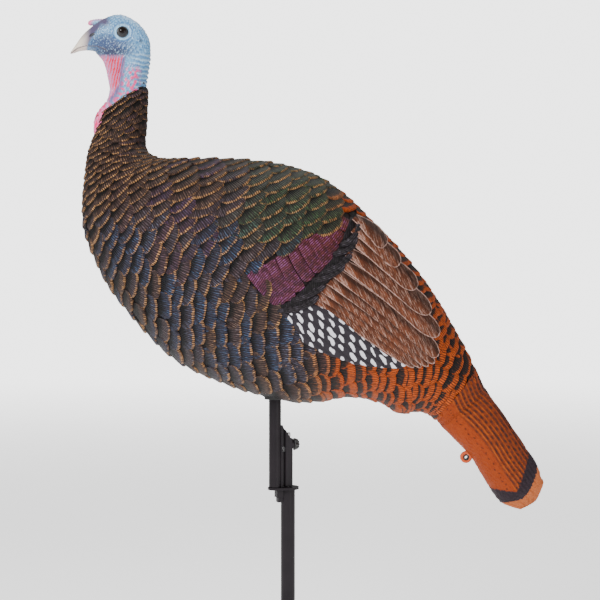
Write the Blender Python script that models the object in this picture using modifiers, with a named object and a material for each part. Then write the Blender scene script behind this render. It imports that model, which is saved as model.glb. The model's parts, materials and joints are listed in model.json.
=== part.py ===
"""Hen turkey decoy that turns freely on a two-section ground stake.

The bird is a hollow rubber body with a moulded head and a moulded tail fixed into it.
A closed socket tube inside the body carries it on the nylon tip of the upper rod.
The upper rod stands beside the lower tube: its clamp sleeve slides on a post in the
tube's top, and a thumbscrew pinches the post.

The soil line is Z = 0 on the lower tube's axis, +Z is up and the bird faces -X.
Lengths are in millimetres until MM turns them into metres.
"""

import math

import bmesh
import bpy
import numpy as np
from mathutils import Matrix, Vector

MM = 0.001

# Clearances
FIT = 0.3
SLIDE_FIT = 0.35
MOULD_FIT = 0.9

# Bird, overall: beak to tail, stake hole to crown, and across the wings
BIRD_LENGTH = 530.0
BIRD_HEIGHT = 431.0
BIRD_WIDTH = 198.0
SKIN_WALL = 2.5
NECK_WALL = 5.0
COLLAR_CLEAR = 1.5
TAIL_WALL = 2.5
TAIL_FIT = 1.6
EYE_RADIUS = 6.2
EYE_PROUD = 2.6
EYE_FIT = 0.5

# The bird's tables below are drawn at this size, then stretched to the overall sizes
DRAWN_LENGTH = 530.0
DRAWN_HEIGHT = 431.0
DRAWN_WIDTH = 198.0

# Lower stake
STAKE_TURN = math.radians(21)
TUBE_RADIUS = 8.0
TUBE_WALL = 1.4
TUBE_ABOVE_SOIL = 149.4
TIP_BELOW_SOIL = 230.0
POINT_LENGTH = 36.0
POINT_SPIGOT = 20.0
POINT_END_RADIUS = 1.2
POST_RADIUS = 3.0
POST_RISE = 63.5
POST_BURIED = 58.0
COLLAR_HEIGHT = 10.0
POST_CHAMFER = 0.8
REST_WIDTH = 9.0
REST_REACH = 6.4
REST_HEIGHT = 8.2
REST_ROOT_HEIGHT = 13.6
REST_STEP = 1.6

# Upper rod and its clamp
ROD_RADIUS = 6.85
ROD_WALL = 1.2
ROD_LENGTH = 277.5
ROD_BESIDE_TUBE = 0.55
PLATE_THICKNESS = 2.5
PLATE_MARGIN_ROD = 1.2
PLATE_MARGIN_TUBE = 4.4
TIP_COLLAR = 3.0
TIP_STEM = 14.0
SLEEVE_WALL = 1.15
SLEEVE_HEIGHT = 64.4
SLEEVE_ROUND = 1.1
WEB_THICKNESS = 3.0
WEB_RISE = 4.6
SADDLE_WIDTH = 8.4
SADDLE_DEPTH = 2.0
SADDLE_OVERLAP = 1.2
WINDOW_HEIGHT = 5.6
WINDOW_UP = 39.0

# Thumbscrew
SCREW_UP = 47.0
SHANK_RADIUS = 2.2
PAD_THICKNESS = 0.9
BOSS_RADIUS = 4.6
BOSS_LENGTH = 1.9
KNOB_RADIUS = 6.7
KNOB_END_RADIUS = 4.7
KNOB_LENGTH = 5.8
KNOB_CHAMFER = 0.7
KNOB_CAP = 1.6
KNOB_LOBES = 8
KNOB_LOBE_DEPTH = 0.6

# Socket, from the rod outwards
SOCKET_DEPTH = 187.8
BUSH_WALL = 1.3
BUSH_LENGTH = 34.0
BUSH_FLANGE = 2.3
BUSH_FLANGE_MARGIN = 3.2
BUSH_SUNK = 1.0
SOCKET_WALL = 1.6
SOCKET_FLANGE = 2.0
CAP_PLUG = 6.0
CAP_TOP = 3.5
GROMMET_WALL = 2.0
GROMMET_FLANGE = 2.2
PAD_THICK = 6.0
PAD_MARGIN = 5.0

# Air valve under the belly
VALVE_X = 78.0
VALVE_BORE = 4.4
VALVE_WALL = 2.0
VALVE_FLANGE = 2.0
VALVE_FLANGE_MARGIN = 4.0
VALVE_STEM = 9.0
VALVE_CHAMFER = 1.0
VALVE_HEAD_RADIUS = 8.0
VALVE_HEAD = 1.8
VALVE_SUNK = 0.6

# Tie lug under the tail
LUG_X = 213.8
LUG_UP = -63.9
LUG_RADIUS = 6.5
LUG_THICKNESS = 5.0
LUG_STEM = 5.0
LUG_STEM_THINNER = 0.4
LUG_LEAN = math.radians(50)
EYELET_RADIUS = 3.3
EYELET_BORE = 1.7

# How far a cutter or a root runs past the face that it meets
CUT_PAST = 5.0
RECESS_PAST = 30.0
ROOT_OVERLAP = 1.0

# Smoothness of the solids
TURNED_STEPS = 24
EYELET_STEPS = 20
RING_POINTS = 24
BODY_RINGS = 28
HEAD_RINGS = 20
TAIL_RINGS = 12

# Sections of the body from the collar to the rump: back x and height, front or belly x
# and height, half width. Heights are over the belly's stake hole.
BODY_SECTIONS = (
    (-142, 344, -199, 306, 24),
    (-144, 303, -209, 278, 29),
    (-145, 287, -212, 252, 38),
    (-141, 276, -214, 222, 52),
    (-128, 269, -212.5, 190, 64),
    (-104, 268, -202, 160, 77),
    (-66, 269, -183, 124, 89),
    (-26, 266, -150, 82, 97),
    (14, 259, -110, 45, 99),
    (50, 245, -59, 20, 98),
    (84, 222, 0, 1, 94),
    (112, 196, 48, -1, 86),
    (138, 169, 86, 4, 76),
    (164, 137, 118, -2, 64),
    (182, 110, 138, -14, 53),
    (198, 83, 156, -12, 44),
    (212, 58, 168, -13, 37),
    (224, 34, 178, -20, 31),
    (232, 16, 184, -26, 27),
)

# Sections of the bare neck and head from the collar to the beak's tip, the same columns.
HEAD_SECTIONS = (
    (-144.5, 352, -202, 313, 20),
    (-143, 360, -197.5, 323, 19),
    (-141.5, 370, -188, 333, 18),
    (-140, 380, -184.8, 345, 17),
    (-139.5, 391, -187, 360, 16.5),
    (-140.5, 402, -189.5, 371, 17),
    (-145, 412, -193, 380, 18),
    (-152, 420.5, -199, 387, 18.5),
    (-161, 427, -202, 390.5, 18.5),
    (-172, 431, -206, 391.5, 17.5),
    (-184, 429.5, -209.5, 391.8, 14.5),
    (-196, 424, -213, 391.5, 11),
    (-207, 416, -217, 391, 8.5),
    (-215, 408.5, -221, 390, 6.2),
    (-222, 399, -225, 388.5, 3.8),
    (-228.5, 390, -229, 387.5, 1.5),
)

# Sections of the folded tail beyond the rump coverts, the same columns.
TAIL_SECTIONS = (
    (237, 9, 188, -31, 24),
    (251, -10, 203, -46, 27),
    (266, -32, 219, -63, 29),
    (280, -53, 231, -83, 29),
    (290, -70, 240, -97, 27),
    (298, -86, 251, -112, 22),
    (300, -94, 260, -118, 16),
    (292, -113, 275, -122.5, 6),
)

# The nominal place of the eye's centre
EYE_AT = (-168.8, 409.1)


def clear_scene():
    for obj in list(bpy.data.objects):
        bpy.data.objects.remove(obj)


def collection(name, hidden=False):
    made = bpy.data.collections.new(name)
    bpy.context.scene.collection.children.link(made)
    made.hide_render = hidden
    return made


def material(name, colour, roughness, metallic=0.0):
    made = bpy.data.materials.new(name)
    made.use_nodes = True
    shader = made.node_tree.nodes["Principled BSDF"]
    shader.inputs["Base Color"].default_value = (*colour, 1)
    shader.inputs["Roughness"].default_value = roughness
    shader.inputs["Metallic"].default_value = metallic
    return made


def empty(name, place, turn=0.0):
    """A frame that parts hang from: place in millimetres, turn about Z."""
    made = bpy.data.objects.new(name, None)
    made.location = Vector(place) * MM
    made.rotation_euler = (0, 0, turn)
    parts.objects.link(made)
    return made


def part(name, mesh, paint, parent, smooth=True):
    made = bpy.data.objects.new(name, mesh)
    parts.objects.link(made)
    made.parent = parent
    if paint:
        mesh.materials.append(paint)
    if smooth and isinstance(mesh, bpy.types.Mesh):
        mesh.shade_smooth()
        mesh.set_sharp_from_angle(angle=math.radians(35))
    return made


def cutter(name, mesh, parent):
    """A helper shape for a Boolean, in the same frame as the piece that it shapes."""
    made = bpy.data.objects.new(name, mesh)
    cutters.objects.link(made)
    made.parent = parent
    made.hide_render = True
    made.display_type = "WIRE"
    return made


def shape(target, tool, operation):
    change = target.modifiers.new(f"{operation.lower()} {tool.name}", "BOOLEAN")
    change.operation = operation
    change.object = tool
    change.solver = "EXACT"


def mesh_of(bm, name):
    mesh = bpy.data.meshes.new(name)
    bm.to_mesh(mesh)
    bm.free()
    return mesh


def box_mesh(name, low, high):
    """A box between two corners in millimetres."""
    low, high = Vector(low) * MM, Vector(high) * MM
    bm = bmesh.new()
    bmesh.ops.create_cube(bm, size=1)
    bmesh.ops.scale(bm, vec=high - low, verts=bm.verts)
    bmesh.ops.translate(bm, vec=(high + low) / 2, verts=bm.verts)
    return mesh_of(bm, name)


def rod_mesh(name, radius, start, end, end_radius=None):
    """A cylinder or a cone between two points in millimetres."""
    start, end = Vector(start) * MM, Vector(end) * MM
    bm = bmesh.new()
    bmesh.ops.create_cone(
        bm,
        cap_ends=True,
        segments=TURNED_STEPS,
        radius1=radius * MM,
        radius2=(radius if end_radius is None else end_radius) * MM,
        depth=(end - start).length,
    )
    turn = Vector((0, 0, 1)).rotation_difference(end - start).to_matrix().to_4x4()
    bmesh.ops.transform(bm, matrix=Matrix.Translation((start + end) / 2) @ turn, verts=bm.verts)
    return mesh_of(bm, name)


def ball_mesh(name, radius, centre):
    bm = bmesh.new()
    bmesh.ops.create_uvsphere(bm, u_segments=16, v_segments=10, radius=radius * MM)
    bmesh.ops.translate(bm, vec=Vector(centre) * MM, verts=bm.verts)
    return mesh_of(bm, name)


def turned(name, profile, paint, parent, steps=TURNED_STEPS):
    """A turned piece. The profile's (radius, height) points run down its outer side, top first."""
    mesh = bpy.data.meshes.new(name)
    points = [(radius * MM, 0, height * MM) for radius, height in profile]
    edges = [(i, i + 1) for i in range(len(points) - 1)]
    if min(radius for radius, _ in profile) > 0:
        edges.append((len(points) - 1, 0))
    mesh.from_pydata(points, edges, [])
    made = part(name, mesh, paint, parent, smooth=False)
    screw = made.modifiers.new("turn", "SCREW")
    screw.steps = steps
    screw.render_steps = steps
    screw.use_merge_vertices = True
    screw.merge_threshold = 0.00001
    return made


def ring_profile(outer, inner, low, high):
    return [(outer, high), (outer, low), (inner, low), (inner, high)]


def flat_plate(name, outlines, low, thickness, paint, parent):
    """A flat plate cut to closed outlines of (x, y) points; outlines inside the first are holes."""
    curve = bpy.data.curves.new(name, "CURVE")
    curve.dimensions = "2D"
    curve.fill_mode = "BOTH"
    curve.extrude = thickness / 2 * MM
    for outline in outlines:
        spline = curve.splines.new("POLY")
        spline.points.add(len(outline) - 1)
        for point, (x, y) in zip(spline.points, outline):
            point.co = (x * MM, y * MM, 0, 1)
        spline.use_cyclic_u = True
    curve.materials.append(paint)
    made = bpy.data.objects.new(name, curve)
    made.location = (0, 0, (low + thickness / 2) * MM)
    parts.objects.link(made)
    made.parent = parent
    return made


def arc(centre, radius, start, end, steps):
    """Points on a circle from one angle to another, in degrees."""
    angles = np.radians(np.linspace(start, end, steps))
    return [(centre[0] + radius * math.cos(a), centre[1] + radius * math.sin(a)) for a in angles]


def to_bird(rows):
    """Section rows stretched from the drawn bird to the overall sizes."""
    rows = np.array(rows, float)
    rows[:, [0, 2]] *= BIRD_LENGTH / DRAWN_LENGTH
    rows[:, [1, 3]] *= BIRD_HEIGHT / DRAWN_HEIGHT
    rows[:, 4] *= BIRD_WIDTH / DRAWN_WIDTH
    return rows


def along(rows, places):
    """Rows at fractional places along the table, by a Catmull-Rom curve through it."""
    padded = np.vstack([2 * rows[0] - rows[1], rows, 2 * rows[-1] - rows[-2]])
    places = np.clip(np.asarray(places, float), 0, len(rows) - 1)
    first = np.minimum(places.astype(int), len(rows) - 2)
    t = (places - first)[:, None]
    a, b, c, d = (padded[first + k] for k in range(4))
    return 0.5 * (2 * b + (c - a) * t + (2 * a - 5 * b + 4 * c - d) * t**2 + (3 * b - a - 3 * c + d) * t**3)


def inset(rows, depth):
    """Sections drawn in by a depth on every side."""
    rows = np.array(rows, float)
    across = rows[:, :2] - rows[:, 2:4]
    unit = across / np.linalg.norm(across, axis=1, keepdims=True)
    rows[:, :2] -= unit * depth
    rows[:, 2:4] += unit * depth
    rows[:, 4] -= depth
    return rows


def rings(rows):
    """Each row's closed section as RING_POINTS points: an oval on the line from back to belly."""
    angle = np.linspace(0, 2 * math.pi, RING_POINTS, endpoint=False)
    middle = (rows[:, :2] + rows[:, 2:4]) / 2
    half = (rows[:, :2] - rows[:, 2:4]) / 2
    place = middle[:, None, :] + half[:, None, :] * np.cos(angle)[None, :, None]
    side = rows[:, 4:5] * np.sin(angle)[None, :]
    return np.stack([place[..., 0], side, place[..., 1]], axis=-1)


def loft(name, sections):
    """A skin over rows of ring points, with flat ends."""
    count, points = sections.shape[:2]
    faces = []
    for i in range(count - 1):
        for j in range(points):
            k = (j + 1) % points
            faces.append((i * points + j, i * points + k, (i + 1) * points + k, (i + 1) * points + j))
    faces.append(tuple(range(points)))
    faces.append(tuple(range((count - 1) * points, count * points)))
    mesh = bpy.data.meshes.new(name)
    mesh.from_pydata((sections.reshape(-1, 3) * MM).tolist(), [], faces)
    bm = bmesh.new()
    bm.from_mesh(mesh)
    bmesh.ops.recalc_face_normals(bm, faces=bm.faces)
    bm.to_mesh(mesh)
    bm.free()
    return mesh


def hollow_mesh(name, rows, wall, through=(True, False)):
    """The space inside sections, a wall in from them, running out past each end named in through."""
    inner = inset(rows, wall)
    if through[0]:
        before = 2 * inner[0] - inner[1]
        inner = np.vstack([before, inner])
        inner[0, 4] = inner[1, 4]
    if through[1]:
        after = 2 * inner[-1] - inner[-2]
        inner = np.vstack([inner, after])
        inner[-1, 4] = inner[-2, 4]
    return loft(name, rings(inner))


def belly_height(x):
    """Height of the belly line over the stake hole at x, on the bird's middle plane."""
    rows = along(to_bird(BODY_SECTIONS), np.linspace(5, len(BODY_SECTIONS) - 1, 200))
    return float(np.interp(x, rows[:, 2], rows[:, 3]))


def valve_x():
    return VALVE_X * BIRD_LENGTH / DRAWN_LENGTH


def half_width_at(rows, x, height):
    """Half width of the skin over sections at a point of the middle plane."""
    ring = rings(rows)
    flat = ring[:, : RING_POINTS // 2 + 1].reshape(-1, 3)
    nearest = np.hypot(flat[:, 0] - x, flat[:, 2] - height).argsort()[:3]
    return float(flat[nearest, 1].mean())


# Places that several pieces share, in millimetres
ROD_OFFSET = TUBE_RADIUS + ROD_BESIDE_TUBE + ROD_RADIUS
SLEEVE_HALF = POST_RADIUS + SLIDE_FIT + SLEEVE_WALL
PLATE_LOW = TUBE_ABOVE_SOIL + FIT
PLATE_HIGH = PLATE_LOW + PLATE_THICKNESS
ROD_LOW = PLATE_HIGH + FIT
ROD_HIGH = ROD_LOW + ROD_LENGTH
TIP_DOME = ROD_RADIUS * 0.6
TIP_HIGH = ROD_HIGH + FIT + TIP_COLLAR + TIP_DOME
BELLY = TIP_HIGH + FIT - SOCKET_DEPTH
BUSH_BORE = ROD_RADIUS + SLIDE_FIT
BUSH_RADIUS = BUSH_BORE + BUSH_WALL
FLANGE_RADIUS = BUSH_RADIUS + BUSH_FLANGE_MARGIN
SOCKET_BORE = BUSH_RADIUS + SLIDE_FIT
SOCKET_RADIUS = SOCKET_BORE + SOCKET_WALL
GROMMET_BORE = SOCKET_RADIUS + FIT
GROMMET_RADIUS = GROMMET_BORE + GROMMET_WALL
GROMMET_FLANGE_RADIUS = GROMMET_RADIUS + PAD_MARGIN - 1
STACK_LOW = BUSH_SUNK + BUSH_FLANGE + FIT
VALVE_RADIUS = VALVE_BORE + VALVE_WALL
VALVE_SEAT = VALVE_SUNK + VALVE_HEAD + FIT

clear_scene()
parts = collection("turkey_decoy")
cutters = collection("cutters", hidden=True)

rubber = material("feathered rubber", (0.09, 0.07, 0.06), 0.6)
head_paint = material("painted head", (0.42, 0.58, 0.70), 0.5)
tail_paint = material("painted tail", (0.50, 0.20, 0.09), 0.6)
glass = material("eye glass", (0.01, 0.01, 0.01), 0.05)
steel = material("black powder coat", (0.02, 0.018, 0.02), 0.35)
nylon = material("black nylon", (0.03, 0.03, 0.03), 0.5)
zinc = material("zinc plated steel", (0.45, 0.45, 0.46), 0.35, 0.9)

stake = empty("stake_frame", (0, 0, 0), STAKE_TURN)
rod_at = (-ROD_OFFSET * math.cos(STAKE_TURN), -ROD_OFFSET * math.sin(STAKE_TURN))
rod_frame = empty("rod_frame", (*rod_at, 0), STAKE_TURN)
bird = empty("bird_frame", (*rod_at, BELLY))


def make_lower_stake():
    """The part pushed into the soil: tube, point, and the post that the upper rod rides on."""
    tube_low = POINT_LENGTH - TIP_BELOW_SOIL
    bore = TUBE_RADIUS - TUBE_WALL
    turned("lower_tube", ring_profile(TUBE_RADIUS, bore, tube_low, TUBE_ABOVE_SOIL), steel, stake)

    shoulder = tube_low - FIT
    spigot = bore - FIT
    turned(
        "spike_point",
        [
            (0, shoulder + POINT_SPIGOT),
            (spigot, shoulder + POINT_SPIGOT),
            (spigot, shoulder),
            (TUBE_RADIUS, shoulder),
            (POINT_END_RADIUS, -TIP_BELOW_SOIL),
            (0, -TIP_BELOW_SOIL),
        ],
        steel,
        stake,
    )

    post_low = TUBE_ABOVE_SOIL - POST_BURIED
    post_high = TUBE_ABOVE_SOIL + POST_RISE
    turned(
        "guide_post",
        [
            (0, post_high),
            (POST_RADIUS - POST_CHAMFER, post_high),
            (POST_RADIUS, post_high - POST_CHAMFER),
            (POST_RADIUS, post_low),
            (0, post_low),
        ],
        zinc,
        stake,
    )
    collar_tops = {"post_collar_upper": TUBE_ABOVE_SOIL, "post_collar_lower": post_low + COLLAR_HEIGHT}
    for name, top in collar_tops.items():
        profile = ring_profile(bore - FIT, POST_RADIUS + FIT, top - COLLAR_HEIGHT, top)
        turned(name, profile, steel, stake)


def make_foot_rest():
    """The stepped lug welded to the tube's side, which stands under the upper rod's foot."""
    high = TUBE_ABOVE_SOIL - FIT
    far = -(TUBE_RADIUS + REST_REACH)
    low = high - REST_HEIGHT
    half = REST_WIDTH / 2
    near = -TUBE_RADIUS / 2
    block = box_mesh("foot_rest", (far, -half, low), (near, half, high))
    rest = part("foot_rest", block, steel, stake, False)
    root_half = half - REST_STEP / 2
    root_low = (far + REST_STEP, -root_half, high - REST_ROOT_HEIGHT)
    root = box_mesh("rest_root", root_low, (near, root_half, low + ROOT_OVERLAP))
    shape(rest, cutter("rest_root", root, stake), "UNION")
    way_low, way_high = (0, 0, low - REST_ROOT_HEIGHT), (0, 0, high + CUT_PAST)
    tube_way = rod_mesh("rest_tube_way", TUBE_RADIUS + FIT, way_low, way_high)
    shape(rest, cutter("rest_tube_way", tube_way, stake), "DIFFERENCE")


def make_upper_rod():
    """The rod that carries the bird, and the nylon tip that the bird turns on."""
    bore = ROD_RADIUS - ROD_WALL
    turned("upper_rod", ring_profile(ROD_RADIUS, bore, ROD_LOW, ROD_HIGH), steel, rod_frame)

    stem = bore - FIT
    dome = ROD_RADIUS - FIT
    start = ROD_HIGH + FIT
    shoulder = start + TIP_COLLAR
    quarter = np.radians(np.linspace(75, 0, 6))
    profile = [(0, shoulder + TIP_DOME)]
    profile += [(dome * math.cos(a), shoulder + TIP_DOME * math.sin(a)) for a in quarter]
    profile += [(dome, start), (stem, start), (stem, start - TIP_STEM), (0, start - TIP_STEM)]
    turned("rod_tip", profile, nylon, rod_frame)


def make_foot_plate():
    """The plate welded under the rod's foot, with a hole that runs on the post."""
    near = ROD_RADIUS + PLATE_MARGIN_ROD
    wide = TUBE_RADIUS + PLATE_MARGIN_TUBE
    lean = math.degrees(math.acos((wide - near) / ROD_OFFSET))
    outline = arc((0, 0), wide, -180 + lean, 180 - lean, 25)
    outline += arc((-ROD_OFFSET, 0), near, 180 - lean, 180 + lean, 13)
    hole = arc((0, 0), POST_RADIUS + SLIDE_FIT, 0, 345, 24)
    flat_plate("foot_plate", [outline, hole], PLATE_LOW, PLATE_THICKNESS, steel, stake)


def make_clamp_sleeve():
    """A square sleeve on the post, joined by a web to a saddle welded to the rod's side."""
    low = PLATE_HIGH + FIT
    high = low + SLEEVE_HEIGHT
    peak = high + WEB_RISE
    half = SLEEVE_HALF
    rod_face = -(ROD_OFFSET - ROD_RADIUS)
    web_start = rod_face + SADDLE_OVERLAP
    block = box_mesh("clamp_sleeve", (-half, -half, low), (half, half, high))
    sleeve = part("clamp_sleeve", block, steel, stake, False)
    rounding = sleeve.modifiers.new("rounded edges", "BEVEL")
    rounding.width = SLEEVE_ROUND * MM
    rounding.segments = 2

    web_half = WEB_THICKNESS / 2
    web_low = (rod_face - SADDLE_DEPTH / 2, -web_half, low)
    web = box_mesh("sleeve_web", web_low, (ROOT_OVERLAP - half, web_half, peak))
    shape(sleeve, cutter("sleeve_web", web, stake), "UNION")
    saddle_half = SADDLE_WIDTH / 2
    saddle_low = (rod_face - SADDLE_DEPTH, -saddle_half, low)
    saddle = box_mesh("sleeve_saddle", saddle_low, (web_start, saddle_half, peak))
    shape(sleeve, cutter("sleeve_saddle", saddle, stake), "UNION")
    up = low + SCREW_UP
    boss = rod_mesh("screw_boss", BOSS_RADIUS, (half - ROOT_OVERLAP, 0, up), (half + BOSS_LENGTH, 0, up))
    shape(sleeve, cutter("screw_boss", boss, stake), "UNION")

    ways = (("post_way", 0, POST_RADIUS + SLIDE_FIT), ("rod_way", -ROD_OFFSET, ROD_RADIUS + FIT))
    for name, x, radius in ways:
        way = rod_mesh(name, radius, (x, 0, low - CUT_PAST), (x, 0, peak + CUT_PAST))
        shape(sleeve, cutter(name, way, stake), "DIFFERENCE")
    wide = half + CUT_PAST
    slope = cutter("web_slope", box_mesh("web_slope", (0, -wide, 0), (wide * 2, wide, WEB_RISE * 3)), stake)
    slope.location = Vector((web_start, 0, peak)) * MM
    slope.rotation_euler = (0, math.atan2(WEB_RISE, -web_start - half), 0)
    shape(sleeve, slope, "DIFFERENCE")
    window_low = (web_start, -wide, low + WINDOW_UP)
    window_high = (-half, wide, low + WINDOW_UP + WINDOW_HEIGHT)
    window = box_mesh("web_window", window_low, window_high)
    shape(sleeve, cutter("web_window", window, stake), "DIFFERENCE")
    screw_way = rod_mesh("screw_way", SHANK_RADIUS + FIT, (0, 0, up), (half + BOSS_LENGTH + CUT_PAST, 0, up))
    shape(sleeve, cutter("screw_way", screw_way, stake), "DIFFERENCE")


def make_thumbscrew():
    """Lobed knob on a steel shank, and the pressure pad that it pushes against the post."""
    up = PLATE_HIGH + FIT + SCREW_UP
    pad_near = POST_RADIUS + FIT
    pad_far = pad_near + PAD_THICKNESS
    knob_near = SLEEVE_HALF + BOSS_LENGTH + FIT
    shank_far = knob_near + KNOB_LENGTH - KNOB_CAP
    pad = rod_mesh("pressure_pad", SHANK_RADIUS, (pad_near, 0, up), (pad_far, 0, up))
    part("pressure_pad", pad, nylon, stake)
    shank = rod_mesh("thumbscrew_shank", SHANK_RADIUS, (pad_far + FIT, 0, up), (shank_far, 0, up))
    part("thumbscrew_shank", shank, zinc, stake)

    angle = np.linspace(0, 2 * math.pi, KNOB_LOBES * 4, endpoint=False)
    sections = []
    for share, chamfer in ((0.0, KNOB_CHAMFER), (0.12, 0.0), (0.88, 0.0), (1.0, KNOB_CHAMFER)):
        radius = KNOB_RADIUS + (KNOB_END_RADIUS - KNOB_RADIUS) * share - chamfer
        reach = radius + KNOB_LOBE_DEPTH * np.cos(KNOB_LOBES * angle)
        x = np.full(len(angle), knob_near + KNOB_LENGTH * share)
        sections.append(np.stack([x, reach * np.cos(angle), up + reach * np.sin(angle)], axis=-1))
    knob = part("thumbscrew_knob", loft("thumbscrew_knob", np.array(sections)), nylon, stake)
    seat = rod_mesh("shank_seat", SHANK_RADIUS + FIT, (knob_near - 1, 0, up), (shank_far + FIT, 0, up))
    shape(knob, cutter("shank_seat", seat, stake), "DIFFERENCE")


def make_socket():
    """Swivel bush, grommet, socket tube and cap, one inside the other on the rod's axis."""
    turned(
        "swivel_bush",
        [
            (BUSH_RADIUS, BUSH_LENGTH),
            (BUSH_RADIUS, BUSH_SUNK + BUSH_FLANGE),
            (FLANGE_RADIUS, BUSH_SUNK + BUSH_FLANGE),
            (FLANGE_RADIUS, BUSH_SUNK),
            (BUSH_BORE, BUSH_SUNK),
            (BUSH_BORE, BUSH_LENGTH),
        ],
        nylon,
        bird,
    )
    flange = STACK_LOW + PAD_THICK + FIT
    turned(
        "belly_grommet",
        [
            (GROMMET_FLANGE_RADIUS, flange + GROMMET_FLANGE),
            (GROMMET_FLANGE_RADIUS, flange),
            (GROMMET_RADIUS, flange),
            (GROMMET_RADIUS, STACK_LOW),
            (GROMMET_BORE, STACK_LOW),
            (GROMMET_BORE, flange + GROMMET_FLANGE),
        ],
        nylon,
        bird,
    )
    seat = flange + GROMMET_FLANGE + FIT
    top = SOCKET_DEPTH + CAP_PLUG
    turned(
        "stake_socket",
        [
            (SOCKET_RADIUS, top),
            (SOCKET_RADIUS, seat + SOCKET_FLANGE),
            (GROMMET_FLANGE_RADIUS, seat + SOCKET_FLANGE),
            (GROMMET_FLANGE_RADIUS, seat),
            (SOCKET_RADIUS, seat),
            (SOCKET_RADIUS, STACK_LOW),
            (SOCKET_BORE, STACK_LOW),
            (SOCKET_BORE, top),
        ],
        nylon,
        bird,
    )
    turned(
        "socket_cap",
        [
            (0, top + FIT + CAP_TOP),
            (SOCKET_RADIUS, top + FIT + CAP_TOP),
            (SOCKET_RADIUS, top + FIT),
            (SOCKET_BORE - FIT, top + FIT),
            (SOCKET_BORE - FIT, SOCKET_DEPTH),
            (0, SOCKET_DEPTH),
        ],
        nylon,
        bird,
    )


def make_body():
    """The hollow feathered body, open at the collar and the rump, with a stake hole and a valve hole."""
    rows = along(to_bird(BODY_SECTIONS), np.linspace(0, len(BODY_SECTIONS) - 1, BODY_RINGS))
    body = part("body_shell", loft("body_shell", rings(rows)), rubber, bird)
    hollow = hollow_mesh("body_hollow", rows, SKIN_WALL, (True, True))
    shape(body, cutter("body_hollow", hollow, bird), "DIFFERENCE")

    x = valve_x()
    level = belly_height(x)
    seats = (
        ("belly", 0.0, STACK_LOW, GROMMET_RADIUS + FIT, FLANGE_RADIUS + FIT),
        ("valve", x, level + VALVE_SEAT, VALVE_RADIUS + FIT, VALVE_HEAD_RADIUS + FIT),
    )
    flanges = {
        "belly": (GROMMET_FLANGE_RADIUS + FIT, GROMMET_FLANGE + SOCKET_FLANGE),
        "valve": (VALVE_RADIUS + VALVE_FLANGE_MARGIN + FIT, VALVE_FLANGE),
    }
    for name, x, floor, _, recess_radius in seats:
        pad_low, pad_high = (x, 0, floor - SKIN_WALL), (x, 0, floor + PAD_THICK)
        pad = rod_mesh(f"{name}_pad", recess_radius + PAD_MARGIN, pad_low, pad_high)
        shape(body, cutter(f"{name}_pad", pad, bird), "UNION")
    for name, x, floor, hole_radius, recess_radius in seats:
        # room for the flanges on the pad, where a steep belly wall would run into them
        flange_radius, stack = flanges[name]
        above = floor + PAD_THICK + FIT / 2
        room = rod_mesh(f"{name}_flange_room", flange_radius, (x, 0, above), (x, 0, above + stack + FIT * 3))
        shape(body, cutter(f"{name}_flange_room", room, bird), "DIFFERENCE")
        recess = rod_mesh(f"{name}_recess", recess_radius, (x, 0, floor - RECESS_PAST), (x, 0, floor))
        shape(body, cutter(f"{name}_recess", recess, bird), "DIFFERENCE")
        hole_low, hole_high = (x, 0, floor - CUT_PAST), (x, 0, floor + PAD_THICK + CUT_PAST)
        hole = rod_mesh(f"{name}_hole", hole_radius, hole_low, hole_high)
        shape(body, cutter(f"{name}_hole", hole, bird), "DIFFERENCE")


def make_valve():
    """The filling valve's seat, and the plug that pulls out of it."""
    x = valve_x()
    frame = empty("valve_frame", (rod_at[0] + x, rod_at[1], BELLY + belly_height(x)))
    flange = VALVE_SEAT + PAD_THICK + FIT
    turned(
        "valve_seat",
        [
            (VALVE_RADIUS + VALVE_FLANGE_MARGIN, flange + VALVE_FLANGE),
            (VALVE_RADIUS + VALVE_FLANGE_MARGIN, flange),
            (VALVE_RADIUS, flange),
            (VALVE_RADIUS, VALVE_SEAT),
            (VALVE_BORE, VALVE_SEAT),
            (VALVE_BORE, flange + VALVE_FLANGE),
        ],
        nylon,
        frame,
    )
    stem = VALVE_BORE - SLIDE_FIT
    top = VALVE_SUNK + VALVE_HEAD
    turned(
        "valve_plug",
        [
            (0, top + VALVE_STEM),
            (stem - VALVE_CHAMFER, top + VALVE_STEM),
            (stem, top + VALVE_STEM - VALVE_CHAMFER),
            (stem, top),
            (VALVE_HEAD_RADIUS, top),
            (VALVE_HEAD_RADIUS, VALVE_SUNK),
            (0, VALVE_SUNK),
        ],
        rubber,
        frame,
    )


def make_head():
    """The head and bare neck, with a plug inside the collar, a bore up the neck, and glass eyes."""
    plug = inset(along(to_bird(BODY_SECTIONS), [0.75, 0.4, 0.0, 0.0]), SKIN_WALL + MOULD_FIT)
    plug[-1, [1, 3]] += COLLAR_CLEAR
    own = to_bird(HEAD_SECTIONS)
    own = along(own, np.linspace(0, len(own) - 1, HEAD_RINGS))
    rows = np.vstack([plug, own])
    head = part("head", loft("head", rings(rows)), head_paint, bird)

    shape(head, cutter("neck_bore", hollow_mesh("neck_bore", rows[:12], NECK_WALL), bird), "DIFFERENCE")

    x = EYE_AT[0] * BIRD_LENGTH / DRAWN_LENGTH
    height = EYE_AT[1] * BIRD_HEIGHT / DRAWN_HEIGHT
    out = half_width_at(own, x, height) + EYE_PROUD - EYE_RADIUS
    for name, side in (("left_eye", -1), ("right_eye", 1)):
        centre = (x, side * out, height)
        part(name, ball_mesh(name, EYE_RADIUS, centre), glass, bird)
        socket = cutter(f"{name}_socket", ball_mesh(f"{name}_socket", EYE_RADIUS + EYE_FIT, centre), bird)
        shape(head, socket, "DIFFERENCE")


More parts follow.
